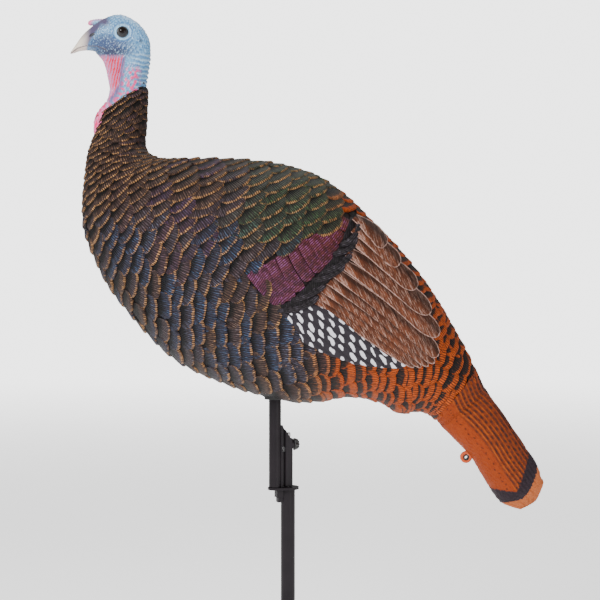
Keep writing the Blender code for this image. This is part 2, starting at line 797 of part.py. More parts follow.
def make_tail():
    """The hollow folded tail, its root inside the rump, with the tie lug below."""
    last = len(BODY_SECTIONS) - 1
    root = inset(along(to_bird(BODY_SECTIONS), [last - 1.6, last - 0.8, last]), SKIN_WALL + TAIL_FIT)
    own = to_bird(TAIL_SECTIONS)
    own = along(own, np.linspace(0, len(own) - 1, TAIL_RINGS))
    rows = np.vstack([root, own])
    tail = part("tail_fan", loft("tail_fan", rings(rows)), tail_paint, bird)

    shape(tail, cutter("tail_hollow", hollow_mesh("tail_hollow", rows[:-3], TAIL_WALL), bird), "DIFFERENCE")

    x = LUG_X * BIRD_LENGTH / DRAWN_LENGTH
    height = LUG_UP * BIRD_HEIGHT / DRAWN_HEIGHT
    half = LUG_THICKNESS / 2
    stem_half = LUG_RADIUS * 0.8
    thin_half = half - LUG_STEM_THINNER / 2
    stem = box_mesh("lug_stem", (-stem_half, -thin_half, 0), (stem_half, thin_half, LUG_RADIUS + LUG_STEM))
    stem = cutter("lug_stem", stem, bird)
    stem.location = Vector((x, 0, height)) * MM
    stem.rotation_euler = (0, LUG_LEAN, 0)
    shape(tail, stem, "UNION")
    lug = cutter("tie_lug", rod_mesh("tie_lug", LUG_RADIUS, (x, -half, height), (x, half, height)), bird)
    shape(tail, lug, "UNION")
    past = half + CUT_PAST
    hole = rod_mesh("eyelet_hole", EYELET_RADIUS + FIT, (x, -past, height), (x, past, height))
    shape(tail, cutter("eyelet_hole", hole, bird), "DIFFERENCE")

    eyelet_frame = empty("eyelet_frame", (rod_at[0] + x, rod_at[1], BELLY + height))
    eyelet_frame.rotation_euler = (math.radians(90), 0, 0)
    profile = ring_profile(EYELET_RADIUS, EYELET_BORE, -half, half)
    turned("tail_eyelet", profile, tail_paint, eyelet_frame, EYELET_STEPS)


make_lower_stake()
make_foot_rest()
make_upper_rod()
make_foot_plate()
make_clamp_sleeve()
make_thumbscrew()
make_socket()
make_body()
make_valve()
make_head()
make_tail()
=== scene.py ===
import json

import bpy
import numpy as np
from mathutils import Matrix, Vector


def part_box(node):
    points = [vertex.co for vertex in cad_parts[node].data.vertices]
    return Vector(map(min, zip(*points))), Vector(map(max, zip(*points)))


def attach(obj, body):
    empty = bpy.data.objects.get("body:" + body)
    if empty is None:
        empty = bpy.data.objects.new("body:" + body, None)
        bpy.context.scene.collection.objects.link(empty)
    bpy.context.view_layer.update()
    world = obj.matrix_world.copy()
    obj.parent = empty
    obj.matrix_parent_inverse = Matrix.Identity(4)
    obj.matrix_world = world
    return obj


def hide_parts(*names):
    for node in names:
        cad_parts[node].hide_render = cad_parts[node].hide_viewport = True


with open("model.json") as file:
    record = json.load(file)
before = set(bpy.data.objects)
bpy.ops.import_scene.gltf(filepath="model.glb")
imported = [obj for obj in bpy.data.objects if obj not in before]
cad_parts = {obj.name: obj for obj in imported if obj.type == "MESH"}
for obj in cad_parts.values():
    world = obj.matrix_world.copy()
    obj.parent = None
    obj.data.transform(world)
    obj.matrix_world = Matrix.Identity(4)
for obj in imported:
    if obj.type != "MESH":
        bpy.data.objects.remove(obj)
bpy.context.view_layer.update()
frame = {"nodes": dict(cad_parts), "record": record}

mm = 0.001
rodLow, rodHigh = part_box("upper_rod")
rodX, rodY = (rodLow.x + rodHigh.x) / 2, (rodLow.y + rodHigh.y) / 2
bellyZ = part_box("swivel_bush")[0].z - 1 * mm  # the bird's own zero height, at its stake hole
valveX = (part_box("valve_plug")[0].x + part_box("valve_plug")[1].x) / 2 / mm - rodX / mm

# Bird sections in millimetres from the rod's axis and over the belly:
# back x, back height, front x, front height, half width
headTable = np.array([
    (-144.5, 352, -202, 313, 20), (-143, 360, -197.5, 323, 19), (-141.5, 370, -188, 333, 18),
    (-140, 380, -184.8, 345, 17), (-139.5, 391, -187, 360, 16.5), (-140.5, 402, -189.5, 371, 17),
    (-145, 412, -193, 380, 18), (-152, 420.5, -199, 387, 18.5), (-161, 427, -202, 390.5, 18.5),
    (-172, 431, -206, 391.5, 17.5), (-184, 429.5, -209.5, 391.8, 14.5), (-196, 424, -213, 391.5, 11),
    (-207, 416, -217, 391, 8.5), (-215, 408.5, -221, 390, 6.2), (-222, 399, -225, 388.5, 3.8),
    (-228.5, 390, -229, 387.5, 1.5),
])
bodyTable = np.array([
    (-142, 344, -199, 306, 24), (-144, 303, -209, 278, 29), (-145, 287, -212, 252, 38),
    (-141, 276, -214, 222, 52), (-128, 269, -212.5, 190, 64), (-104, 268, -202, 160, 77),
    (-66, 269, -183, 124, 89), (-26, 266, -150, 82, 97), (14, 259, -110, 45, 99),
    (50, 245, -59, 20, 98), (84, 222, 0, 1, 94), (112, 196, 48, -1, 86), (138, 169, 86, 4, 76),
    (164, 137, 118, -2, 64), (182, 110, 138, -14, 53), (198, 83, 156, -12, 44),
    (212, 58, 168, -13, 37), (224, 34, 178, -20, 31), (232, 16, 184, -26, 27),
])
tailTable = np.array([
    (237, 9, 188, -31, 24), (251, -10, 203, -46, 27), (266, -32, 219, -63, 29),
    (280, -53, 231, -83, 29), (290, -70, 240, -97, 27), (298, -86, 251, -112, 22),
    (300, -94, 260, -118, 16), (292, -113, 275, -122.5, 6),
])
trunkTable = np.vstack([headTable[1], headTable[0], bodyTable, tailTable])
tailStart, lastRow = len(trunkTable) - len(tailTable), len(trunkTable) - 1  # rows of the trunk

# the side view is judged from this middle (bird millimetres) and distance, where the camera stands too
view = {"centre": np.array([28.0, 112.0]), "distance": 1300.0, "width": 672.0}

# paints are mixed a little fuller and deeper than they look under soft light
paintMix = {"fullness": 1.28, "depth": 0.82, "least": 0.0015}


def shade(red, green, blue):
    # a screen colour, 0 to 255, as the linear light that a shader takes, spread from its grey by the fullness
    c = np.array([red, green, blue], float) / 255
    c = np.where(c <= 0.04045, c / 12.92, ((c + 0.055) / 1.055) ** 2.4)
    grey = c.mean()
    return np.clip(grey + (c - grey) * paintMix["fullness"], paintMix["least"], 1.0) * paintMix["depth"]


def smooth(edge0, edge1, x):
    # 0 below the first edge, 1 above the second, an S-curve between them
    t = np.clip((x - edge0) / (edge1 - edge0), 0, 1)
    return t * t * (3 - 2 * t)


def dimple(distance, size):
    # 1 at no distance, falling off as a bell of that size
    return np.exp(-((distance / size) ** 2))


def lay(under, share, colour):
    # paint laid over other paint: under * (1 - share) + colour * share
    share = np.clip(share, 0, 1)[..., None]
    return under * (1 - share) + colour * share


def ripple(points, size, seed, waves=14):
    # soft random relief from -1 to 1: the mean of plane waves of about one wavelength, in random directions
    rng = np.random.default_rng(seed)
    way = rng.normal(size=(waves, 3))
    way /= np.linalg.norm(way, axis=1, keepdims=True)
    way *= (2 * np.pi / size * rng.uniform(0.7, 1.4, waves))[:, None]
    return np.sin(points @ way.T + rng.uniform(0, 6.28, waves)).sum(-1) / np.sqrt(waves * 2)


def rowsAt(table, u):
    # a table's row at any fractional place, on a Catmull-Rom curve through its rows
    padded = np.vstack([2 * table[0] - table[1], table, 2 * table[-1] - table[-2]])
    u = np.clip(u, 0, len(table) - 1)
    first = np.minimum(u.astype(int), len(table) - 2)
    t = (u - first)[..., None]
    a, b, c, d = (padded[first + k] for k in range(4))
    return 0.5 * (2 * b + (c - a) * t + (2 * a - 5 * b + 4 * c - d) * t**2 + (3 * b - a - 3 * c + d) * t**3)


def ovalPoint(table, u, v):
    # the skin over a table: the section's middle + its half line * cos v, with its half width * sin v aside
    row = rowsAt(table, u)
    middle, half = (row[..., :2] + row[..., 2:4]) / 2, (row[..., :2] - row[..., 2:4]) / 2
    place = middle + half * np.cos(v)[..., None]
    return np.stack([place[..., 0], row[..., 4] * np.sin(v), place[..., 1]], -1)


def ovalFrame(table, u, v):
    # the skin's point, its two slopes by small steps, and the outward normal that they span
    step = 0.02
    point = ovalPoint(table, u, v)
    slopeU = (ovalPoint(table, u + step, v) - ovalPoint(table, u - step, v)) / (2 * step)
    slopeV = (ovalPoint(table, u, v + step) - ovalPoint(table, u, v - step)) / (2 * step)
    normal = np.cross(slopeU, slopeV)
    normal /= np.linalg.norm(normal, axis=-1, keepdims=True) + 1e-9
    return point, slopeU, slopeV, normal


def stepsAlong(offset, slopeU, slopeV):
    # how far u and v move for an offset in the skin's plane, by least squares on the two slopes
    e, f, g = (slopeU**2).sum(-1), (slopeU * slopeV).sum(-1), (slopeV**2).sum(-1)
    pu, pv = (offset * slopeU).sum(-1), (offset * slopeV).sum(-1)
    return (g * pu - f * pv) / (e * g - f * f), (e * pv - f * pu) / (e * g - f * f)


def asSeen(points):
    # side-view places as they look from the camera's distance, which draws what is nearer a little larger
    near = view["distance"] / (view["distance"] - np.abs(points[..., 1]))
    return view["centre"] + (points[..., [0, 2]] - view["centre"]) * near[..., None]


def toWorld(points):
    # bird millimetres to the frame's metres
    return points * mm + np.array([rodX, rodY, bellyZ])


def gridFaces(rows, columns, copies=1, closed=False, ringed=False):
    # four-sided faces of a grid of rows by columns, repeated for several grids in one mesh; closed joins the
    # last column to the first, and ringed joins the last row to the first too
    i, j = np.meshgrid(np.arange(rows - (not ringed)), np.arange(columns - (not closed)), indexing="ij")
    on, k = (i + 1) % rows, (j + 1) % columns
    face = np.stack([i * columns + j, on * columns + j, on * columns + k, i * columns + k], -1).reshape(-1, 4)
    return (face[None] + (np.arange(copies) * rows * columns)[:, None, None]).reshape(-1, 4)


def endFans(rows, columns):
    # fans from a middle point to the first and the last ring; the middle points follow the grid's own
    j = np.arange(columns)
    k = (j + 1) % columns
    first, last = np.full(columns, rows * columns), np.full(columns, rows * columns + 1)
    end = (rows - 1) * columns
    return np.vstack([np.stack([first, j, k], -1), np.stack([last, end + k, end + j], -1)])


def withEnds(grid, nudge=0):
    # a grid's values as rows, followed by the mean of its first ring and of its last one
    flat = grid.reshape(-1, grid.shape[-1])
    return np.vstack([flat, grid[0].mean(0)[None], grid[-1].mean(0)[None] + nudge])


def addPiece(name, points, faces, body, paint, replaces=(), maps=None, tints=None):
    # a mesh from arrays, with its own maps (per point) and colour attributes, riding on a body
    mesh = bpy.data.meshes.new(name)
    mesh.vertices.add(len(points))
    mesh.vertices.foreach_set("co", np.ascontiguousarray(points, np.float32).ravel())
    faces = np.ascontiguousarray(faces, np.int32)
    mesh.loops.add(faces.size)
    mesh.loops.foreach_set("vertex_index", faces.ravel())
    mesh.polygons.add(len(faces))
    mesh.polygons.foreach_set("loop_start", np.arange(0, faces.size, faces.shape[1], dtype=np.int32))
    mesh.update(calc_edges=True)
    mesh.validate()
    mesh.shade_smooth()
    for mapName, values in (maps or {}).items():
        layer = mesh.uv_layers.new(name=mapName)
        layer.data.foreach_set("uv", values[faces.ravel()].astype(np.float32).ravel())
    for tintName, values in (tints or {}).items():
        layer = mesh.color_attributes.new(tintName, "FLOAT_COLOR", "POINT")
        if values.shape[1] == 3:
            values = np.hstack([values, np.ones((len(values), 1))])
        layer.data.foreach_set("color", values.astype(np.float32).ravel())
    mesh.materials.append(paint)
    piece = bpy.data.objects.new(name, mesh)
    bpy.context.scene.collection.objects.link(piece)
    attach(piece, body)
    if replaces:
        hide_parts(*replaces)
    return piece


def addCapped(name, points, size, body, paint, replaces=(), maps=None, tints=None, turned=False):
    # a grid of rings in three-sided faces, with fans that close its ends; turned flips every face
    way = -1 if turned else 1
    faces = gridFaces(*size, closed=True)[:, ::way]
    halves = np.vstack([faces[:, [0, 1, 2]], faces[:, [0, 2, 3]], endFans(*size)[:, ::way]])
    return addPiece(name, points, halves, body, paint, replaces, maps, tints)


class Wiring:
    # a material's nodes: the methods add nodes and give their output socket
    def __init__(self, name):
        self.material = bpy.data.materials.new(name)
        self.material.use_nodes = True
        self.tree = self.material.node_tree
        self.shader = self.tree.nodes["Principled BSDF"]

    def add(self, kind, inputs=(), output=0, **settings):
        made = self.tree.nodes.new(kind)
        for key, value in settings.items():
            setattr(made, key, value)
        for key, value in dict(inputs).items():
            self.plug(value, made.inputs[key])
        return made.outputs[output]

    def plug(self, value, socket):
        if isinstance(value, bpy.types.NodeSocket):
            self.tree.links.new(value, socket)
        elif isinstance(value, (tuple, list, np.ndarray)) and len(value) == 3 and socket.type == "RGBA":
            socket.default_value = (*value, 1)
        else:
            socket.default_value = value

    def calc(self, operation, *values, clamp=False):
        return self.add("ShaderNodeMath", enumerate(values), operation=operation, use_clamp=clamp)

    def times(self, a, b, clamp=False):
        return self.calc("MULTIPLY", a, b, clamp=clamp)

    def plus(self, a, b):
        return self.calc("ADD", a, b)

    def line(self, value, factor, offset):
        # value * factor + offset
        return self.calc("MULTIPLY_ADD", value, factor, offset)

    def wave(self, phase):
        # a sine between 0 and 1
        return self.line(self.calc("SINE", phase), 0.5, 0.5)

    def around(self, value, middle, amount):
        # (value - middle) * amount
        return self.times(self.calc("SUBTRACT", value, middle), amount)

    def mix(self, share, first, second, blend="MIX"):
        inputs = {0: share, 6: first, 7: second}
        return self.add("ShaderNodeMix", inputs, 2, data_type="RGBA", blend_type=blend, clamp_factor=True)

    def shaded(self, colour, value):
        # the colour times a grey level
        grey = self.add("ShaderNodeCombineColor", {0: value, 1: value, 2: value})
        return self.mix(1.0, colour, grey, "MULTIPLY")

    def ramp(self, value, low, high):
        inputs = {"Value": value, "From Min": low, "From Max": high}
        return self.add("ShaderNodeMapRange", inputs, interpolation_type="SMOOTHSTEP")

    def noise(self, scale, detail=3, vector=None, roughness=0.5):
        place = vector or self.place()
        inputs = {"Vector": place, "Scale": scale, "Detail": detail, "Roughness": roughness}
        return self.add("ShaderNodeTexNoise", inputs)

    def place(self):
        return self.add("ShaderNodeTexCoord", output="Object")

    def join(self, *values):
        return self.add("ShaderNodeCombineXYZ", enumerate(values))

    def axes(self, vector):
        split = self.tree.nodes.new("ShaderNodeSeparateXYZ")
        self.plug(vector, split.inputs[0])
        return split.outputs

    def uv(self, name):
        return self.axes(self.add("ShaderNodeUVMap", uv_map=name))

    def attribute(self, name):
        made = self.tree.nodes.new("ShaderNodeAttribute")
        made.attribute_name = name
        return made.outputs["Color"], made.outputs["Alpha"]

    def finish(self, relief=None, **sockets):
        # the shader's sockets, and a bump from relief: (height, millimetres, strength)
        if relief:
            height, distance, strength = relief
            inputs = {"Height": height, "Distance": distance * mm, "Strength": strength}
            sockets["Normal"] = self.add("ShaderNodeBump", inputs)
        for key, value in sockets.items():
            self.plug(value, self.shader.inputs[key.replace("_", " ")])
        return self.material


def plumagePaint(name, barbPitch, fringeWidth, relief, rootShadeFrom, rootShadeTo, streak, sideOff):
    # moulded feathers: barbs cross the first map's x, the painted fringe lies along the tip's rim, and
    # painted shade darkens each feather towards its root; a fringe amount over 1 paints it solid, below 1 it
    # is brushed on in patches
    w = Wiring(name)
    plume, start = w.attribute("plume")
    fringe, fringeAmount = w.attribute("fringe")
    gleam, gleamAmount = w.attribute("gleam")
    barb, vane = w.uv("barb"), w.uv("vane")
    grain, blotch = w.noise(900, 2), w.noise(75, 3)
    wander = w.around(w.noise(260, 2), 0.5, 2.6)
    strand = w.wave(w.plus(w.times(barb[0], 62.83 / barbPitch), wander))
    scale, alongX, alongY = streak
    drawn = w.join(w.times(barb[0], alongX), w.times(barb[1], alongY), w.times(blotch, 0.3))
    streaks = w.noise(scale, 3, drawn, 0.6)
    rim = w.plus(vane[1], w.around(w.noise(330, 2), 0.5, 0.16))
    edge = w.ramp(w.calc("SUBTRACT", rim, start), 0.0, fringeWidth)
    sides = w.calc("SUBTRACT", 1.0, w.calc("ABSOLUTE", w.line(vane[0], 2.0, -1.0)))
    patchy = w.times(w.ramp(w.noise(150, 3), 0.38, 0.58), w.line(strand, 0.85, 0.15))
    patchy = w.times(patchy, w.ramp(sides, 0.0, sideOff))
    solid = w.times(w.calc("SUBTRACT", fringeAmount, 1.0, clamp=True), w.line(strand, 0.35, 0.65))
    edge = w.times(edge, w.calc("MAXIMUM", patchy, solid))
    edge = w.times(edge, w.calc("MINIMUM", fringeAmount, 1.0), clamp=True)
    lit = w.times(w.calc("POWER", strand, 2.0), w.ramp(streaks, 0.46, 0.68))
    lit = w.times(lit, gleamAmount, clamp=True)
    colour = w.mix(edge, w.mix(lit, plume, gleam), fringe)
    # painted shade: each feather darkens towards its root, where the feather before it covers it
    rootShade = w.line(w.ramp(vane[1], rootShadeFrom, rootShadeTo), 0.93, 0.07)
    uneven = w.line(w.ramp(w.noise(scale * 0.8, 2, drawn), 0.36, 0.60), 0.5, 0.5)
    value = w.times(w.times(rootShade, uneven), w.line(strand, 0.68, 0.32))
    return w.finish(
        Base_Color=w.shaded(colour, value), Roughness=w.line(blotch, 0.25, 0.45), Specular_IOR_Level=0.16,
        relief=(w.plus(strand, w.times(grain, 0.5)), relief, 0.9),
    )


# what the feather paints are mixed from: millimetres for the barbs' pitch and relief, shares of a feather's
# length for the rest, and for the streaks a noise scale with its stretch along and across the barbs
featherFinish = {
    "barbPitch": 1.9, "fringeWidth": 0.07, "relief": 0.45, "rootShadeFrom": 0.54, "rootShadeTo": 0.80,
    "streak": (9.0, 1.0, 0.16), "sideOff": 0.3,
}
# for the wing the painted root shade ends before the vane begins, so its feathers get none
wingFinish = {
    "barbPitch": 2.1, "fringeWidth": 0.03, "relief": 0.3, "rootShadeFrom": -1.0, "rootShadeTo": -0.5,
    "streak": (3.6, 0.8, 0.6), "sideOff": 0.0,
}
panelFinish = {**wingFinish, "barbPitch": 2.4, "relief": 0.4, "streak": (5.0, 0.5, 0.5)}
featherPaint = plumagePaint("moulded feathers", **featherFinish)
wingPaint = plumagePaint("moulded wing feathers", **wingFinish)
panelPaint = plumagePaint("moulded panel feathers", **panelFinish)
print("plumage paints mixed")

# row tables run by the row's place along the trunk: places, then values in millimetres
plumage = {
    "overlap": 2.35, "turnSpread": 5, "seed": 11, "root": -1.5, "tuck": -1.9, "widen": 1.24, "coverRise": 3.2,
    "spacing": ([0.4, 1, 2.5, 5, 7, 10, 13, 17, 20.6], [4.6, 5.2, 6.6, 8.6, 10.2, 12.4, 13.6, 12.0, 12.0]),
    "width": ([2, 4, 6, 8, 12, 16, 20], [16, 20, 24, 28, 30, 23, 19]),
    "lift": ([1, 3, 6, 10, 20], [2.2, 2.6, 3.4, 3.8, 3.4]),
    "steps": np.array([0.0, 0.35, 0.62, 0.82, 0.93, 1.0, 1.0]),  # shares of a feather's length, seven rows
}
tan, orange, soot = shade(214, 166, 124), shade(192, 98, 62), shade(34, 26, 26)
blackBrown, blueBlack = shade(66, 50, 45), shade(50, 49, 63)
purpleBlack, greenBlack = shade(66, 50, 62), shade(50, 52, 44)

# side-view outlines: the coverts' lower edge, where the tail comes out, and what the folded wing covers
shoulderEdge = np.array([
    (-215, 205), (-172, 196), (-138, 177), (-114, 186), (-90, 168), (-32, 143), (-10, 104), (3, 99),
])
rumpBorder = np.array([(182, -36), (184, -18), (196, -8), (204, 4), (220, 14), (242, 20), (262, 40)])
wingOutline = np.array([
    (-26, 141), (-4, 154), (26, 170), (50, 184), (68, 193), (66, 214), (88, 204), (112, 184), (130, 160),
    (150, 132), (166, 102), (173, 74), (170, 50), (150, 42), (116, 46), (80, 52), (46, 62), (32, 72),
    (28, 92), (-2, 106),
])


def wingRise(x, h):
    # the folded wing's coverts stand proud of the flank: a soft step along their lower edge
    border = np.interp(x, shoulderEdge[:, 0], shoulderEdge[:, 1])
    rise = plumage["coverRise"] * smooth(-2, 6, h - border) * smooth(-205, -150, x)
    return rise * smooth(110, 60, x) * smooth(285, 250, h)


def skinPoint(u, v, height):
    # the skin's point plus its normal times the height and the coverts' rise there
    point, _, _, normal = ovalFrame(trunkTable, u, v)
    seen = asSeen(point)
    return point + normal * (height + wingRise(seen[..., 0], seen[..., 1]))[..., None]


def featherGrid(u, v, towards, across, length, width, lift):
    # each feather is a fan of seven rows: out along its own way, round at the tip, rising from under the
    # feathers before it, then a last row that drops back to the skin
    s3, t3 = plumage["steps"][None, :, None], np.linspace(-1, 1, 7)[None, None, :]
    length, width, lift = (a[:, None, None] for a in (length, width, lift))
    out = s3 * (length - 0.24 * width * np.abs(t3) ** 2.6)
    side = width / 2 * np.sin(t3 * 1.5) * (0.6 + 0.4 * s3)
    eased = 0.35 * lift * (s3 > 0.97)
    height = plumage["root"] + lift * s3**1.15 * (1 - 0.3 * t3**2) - eased
    height[:, -1] = plumage["tuck"]
    offset = out[..., None] * towards[:, None, None] + side[..., None] * across[:, None, None]
    start, slopeU, slopeV, _ = ovalFrame(trunkTable, u, v)
    wanted = start[:, None, None] + offset
    du, dv = stepsAlong(offset, slopeU[:, None, None], slopeV[:, None, None])
    u, v = u[:, None, None] + np.clip(du, -1, 1), v[:, None, None] + dv
    # uneven sections make that first step miss, so three more steps close on the wanted place
    for _ in range(3):
        near, slopeU, slopeV, _ = ovalFrame(trunkTable, u, v)
        du, dv = stepsAlong(wanted - near, slopeU, slopeV)
        u, v = u + np.clip(du, -0.5, 0.5), v + np.clip(dv, -0.3, 0.3)
    barb = np.stack(np.broadcast_arrays(t3 * width / 2, s3 * length), -1) / 10
    vane = np.stack(np.broadcast_arrays(t3 / 2 + 0.5, s3 + 0 * out), -1)
    return skinPoint(u, v, height), barb, vane


def layRows():
    # rows of feather roots: each row is a line round the bird that leans back over the shoulders and under
    # the flanks, and roots share it evenly by arc length, half a feather on from the row before
    us = np.linspace(0.42, 20.3, 2001)
    path = ovalPoint(trunkTable, us, np.full(2001, np.pi / 2))
    run = np.concatenate([[0], np.cumsum(np.linalg.norm(np.diff(path, axis=0), axis=1))])
    spacing = np.interp(us, *plumage["spacing"])
    count = np.concatenate([[0], np.cumsum(np.diff(run) / spacing[1:])])
    starts = np.interp(np.arange(int(count[-1]) + 1), count, us)
    ring = np.linspace(0, 2 * np.pi, 721)
    over, under = np.maximum(np.cos(ring), 0) ** 1.7, np.maximum(-np.cos(ring), 0) ** 1.7
    found = []
    for number, start in enumerate(starts):
        leanTop = 1.3 * np.interp(start, [3, 7, 13, 17], [0, 1, 1, 0])
        leanLow = np.interp(start, [5, 9, 13, 16, 18, 20.6], [0, 1, 0.8, 0, -0.9, -1.7])
        line = start + leanTop * over + leanLow * under
        points = ovalPoint(trunkTable, line, ring)
        step = np.linalg.norm(np.diff(points, axis=0), axis=1)
        x, h = points[1:, 0], points[1:, 2]
        width = np.interp(start, *plumage["width"])
        width = width + 5 * smooth(180, 230, h) * smooth(-140, -90, x) * smooth(140, 90, x)
        share = np.concatenate([[0], np.cumsum(step / width)])
        total = max(8, int(round(share[-1])))
        wanted = (np.arange(total) + 0.5 * (number % 2)) / total * share[-1]
        v = np.interp(wanted, share, ring)
        lean = np.interp(v, ring, np.gradient(line, ring))
        local = np.interp(v, ring, np.append(width[:1], width))
        gap = np.full(len(v), np.interp(start, us, spacing))
        found.append(np.stack([np.interp(v, ring, line), v, lean, local * share[-1] / total, gap], -1))
    return np.vstack(found)


def inside(polygon, x, h):
    # whether points lie inside a closed outline, by counting the edges that a line to the right crosses
    hit = np.zeros(x.shape, bool)
    for (x0, h0), (x1, h1) in zip(polygon, np.roll(polygon, -1, axis=0)):
        hit ^= ((h0 > h) != (h1 > h)) & (x < (x1 - x0) * (h - h0) / (h1 - h0 + 1e-9) + x0)
    return hit


def plumageColours(x, h, rng):
    # paint for each feather by where it lies, side view millimetres, with a patch's share from smooth steps
    n = len(x)
    spread = rng.uniform(0, 1, n)
    plume = blackBrown + np.zeros((n, 1))
    fringe = np.broadcast_to(tan, (n, 3)) * rng.uniform(0.75, 1.15, (n, 1))
    gleam = shade(150, 122, 104) + np.zeros((n, 1))
    start = rng.uniform(0.87, 0.92, n)
    fringeAmount = rng.uniform(0.8, 1.0, n)
    gleamAmount = rng.uniform(0.4, 1.0, n)
    tint = 0.3 * ripple(np.stack([x, h, 0 * x], -1), 70, 5)
    blue = smooth(-60, 0, -np.abs(h - 110) + 60) * smooth(120, 0, x) * smooth(0.0, 0.8, spread + tint)
    purple = smooth(-190, -120, x) * smooth(70, 0, x) * smooth(120, 170, h)
    purple = purple * smooth(0.3, 0.9, 1 - spread + tint)
    green = smooth(-70, 0, x) * smooth(150, 190, h) * smooth(100, 60, x)
    warm = smooth(20, 75, x - 0.12 * h) * smooth(75, 30, h) + smooth(62, 84, x) * smooth(-10, 60, h)
    warm = np.clip(warm, 0, 1)  # rump and vent
    for share, colour in (
        (blue * 0.9, blueBlack), (purple * 0.8, purpleBlack), (green, greenBlack), (warm, soot),
    ):
        plume = lay(plume, share, colour)
    fringe = lay(fringe, warm, orange)
    gleam = lay(gleam, blue, shade(104, 134, 172))
    gleam = lay(gleam, purple * 0.8, shade(120, 96, 150))
    gleam = lay(gleam, green * rng.uniform(0.5, 1, n), shade(92, 140, 82))
    gleam = lay(gleam, warm, shade(150, 90, 60))
    start = start * (1 - warm) + warm * rng.uniform(0.70, 0.84, n)
    fringeAmount = fringeAmount * (1 - warm) + warm * 2.0
    pairs = {"plume": (plume, start), "fringe": (fringe, fringeAmount), "gleam": (gleam, gleamAmount)}
    return {key: np.hstack([colour, amount[:, None]]) for key, (colour, amount) in pairs.items()}


def makePlumage():
    rng = np.random.default_rng(plumage["seed"])
    u, v, lean, width, gap = layRows().T
    point, slopeU, slopeV, normal = ovalFrame(trunkTable, u, v)
    towards = np.cross(slopeV + slopeU * lean[:, None], normal)
    towards /= np.linalg.norm(towards, axis=1, keepdims=True)
    across = np.cross(normal, towards)
    turn = np.radians(rng.normal(0, plumage["turnSpread"], len(u)))[:, None]
    towards, across = (
        np.cos(turn) * towards + np.sin(turn) * across, np.cos(turn) * across - np.sin(turn) * towards,
    )
    overlap = np.interp(u, [0.4, 1.5, 3], [1.3, 2.0, plumage["overlap"]])
    length = gap * overlap * rng.uniform(0.94, 1.08, len(u))
    width = width * plumage["widen"] * rng.uniform(0.94, 1.1, len(u))
    lift = np.interp(u, *plumage["lift"]) * rng.uniform(0.85, 1.2, len(u))
    centre, tip = (point + towards * (length * share)[:, None] for share in (0.8, 1.0))
    seenCentre, seenTip = asSeen(centre), asSeen(tip)
    hidden = inside(wingOutline, *seenCentre.T) & (np.abs(point[:, 1]) > 25)
    border = np.interp(seenTip[:, 1], rumpBorder[:, 1], rumpBorder[:, 0])
    hidden |= (seenTip[:, 0] > border) & (u > 14)
    # feathers stay clear of the stake's hole and the valve's, tips and middles
    for x, tipClear, centreClear in ((0.0, 17, 15), (valveX, 12, 11)):
        near = np.hypot(tip[:, 0] - x, tip[:, 1]) < tipClear
        near |= np.hypot(centre[:, 0] - x, centre[:, 1]) < centreClear
        hidden |= near & (point[:, 2] < 40)
    hidden |= length <= 4
    paints = plumageColours(seenTip[:, 0], seenTip[:, 1], rng)
    low = np.abs(v - np.pi) <= 1.6
    parts = {
        "neck_feathers": u < 5.2, "breast_feathers": (u >= 5.2) & (u < 8.6),
        "back_feathers": (u >= 8.6) & ~low, "flank_feathers": (u >= 8.6) & low & (u < 15),
        "rump_feathers": (u >= 15) & low,
    }
    for name, chosen in parts.items():
        k = np.flatnonzero(chosen & ~hidden)
        points, barb, vane = featherGrid(u[k], v[k], towards[k], across[k], length[k], width[k], lift[k])
        addPiece(
            name, toWorld(points.reshape(-1, 3)), gridFaces(7, 7, len(k)), "decoy", featherPaint,
            maps={"barb": barb.reshape(-1, 2), "vane": vane.reshape(-1, 2)},
            tints={key: np.repeat(values[k], 49, axis=0) for key, values in paints.items()},
        )
        print(name, len(k), "feathers")


makePlumage()

bed = {"sunk": 1.6, "rows": 150, "columns": 120, "stakeHole": 13.4, "valveHole": 8.4, "holeSides": 64}


def turnAround(count):
    # angles evenly round a circle, without the last one that would meet the first
    return np.linspace(0, 2 * np.pi, count, endpoint=False)


def cutHole(piece, x, radius, top):
    # an upright drill through the belly, from 40 mm below it up to the top height
    count = bed["holeSides"]
    theta = turnAround(count)
    ring = np.stack([x + radius * np.cos(theta), radius * np.sin(theta), 0 * theta], -1)
    drill = withEnds(np.stack([ring + [0, 0, -40], ring + [0, 0, top]]))
    faces = gridFaces(2, count, closed=True)[:, ::-1].tolist() + endFans(2, count)[:, ::-1].tolist()
    mesh = bpy.data.meshes.new("drill")
    mesh.from_pydata(toWorld(drill).tolist(), [], faces)
    tool = bpy.data.objects.new("drill", mesh)
    bpy.context.scene.collection.objects.link(tool)
    cut = piece.modifiers.new("hole", "BOOLEAN")
    cut.operation, cut.object, cut.solver = "DIFFERENCE", tool, "EXACT"
    bpy.context.view_layer.update()
    holed = bpy.data.meshes.new_from_object(piece.evaluated_get(bpy.context.evaluated_depsgraph_get()))
    piece.modifiers.clear()
    piece.data = holed
    bpy.data.objects.remove(tool)


def makeBed():
    # the trunk's own skin drawn in a little, closed at collar and rump, with holes for stake and valve
    size = bed["rows"], bed["columns"]
    u, v = np.meshgrid(np.linspace(0.9, 21.0, size[0]), turnAround(size[1]), indexing="ij")
    points = withEnds(skinPoint(u, v, np.full(u.shape, -bed["sunk"])))
    w = Wiring("feather bed")
    grain = w.noise(400, 3)
    colour = w.mix(grain, shade(20, 16, 16), shade(40, 30, 28))
    paint = w.finish(Base_Color=colour, Roughness=0.7, Specular_IOR_Level=0.2, relief=(grain, 0.4, 1.0))
    piece = addCapped(
        "feather_bed", toWorld(points), size, "decoy", paint, ["body_shell"],
    )
    cutHole(piece, 0.0, bed["stakeHole"], 212.0)
    cutHole(piece, valveX, bed["valveHole"], 24.0)
    print("bed", len(piece.data.polygons), "faces")


makeBed()


def sideSpot(u, c):
    # the side view's place on the trunk: middle + half line * c
    row = rowsAt(trunkTable, u)
    return (row[:, :2] + row[:, 2:4]) / 2 + (row[:, :2] - row[:, 2:4]) / 2 * c[:, None]


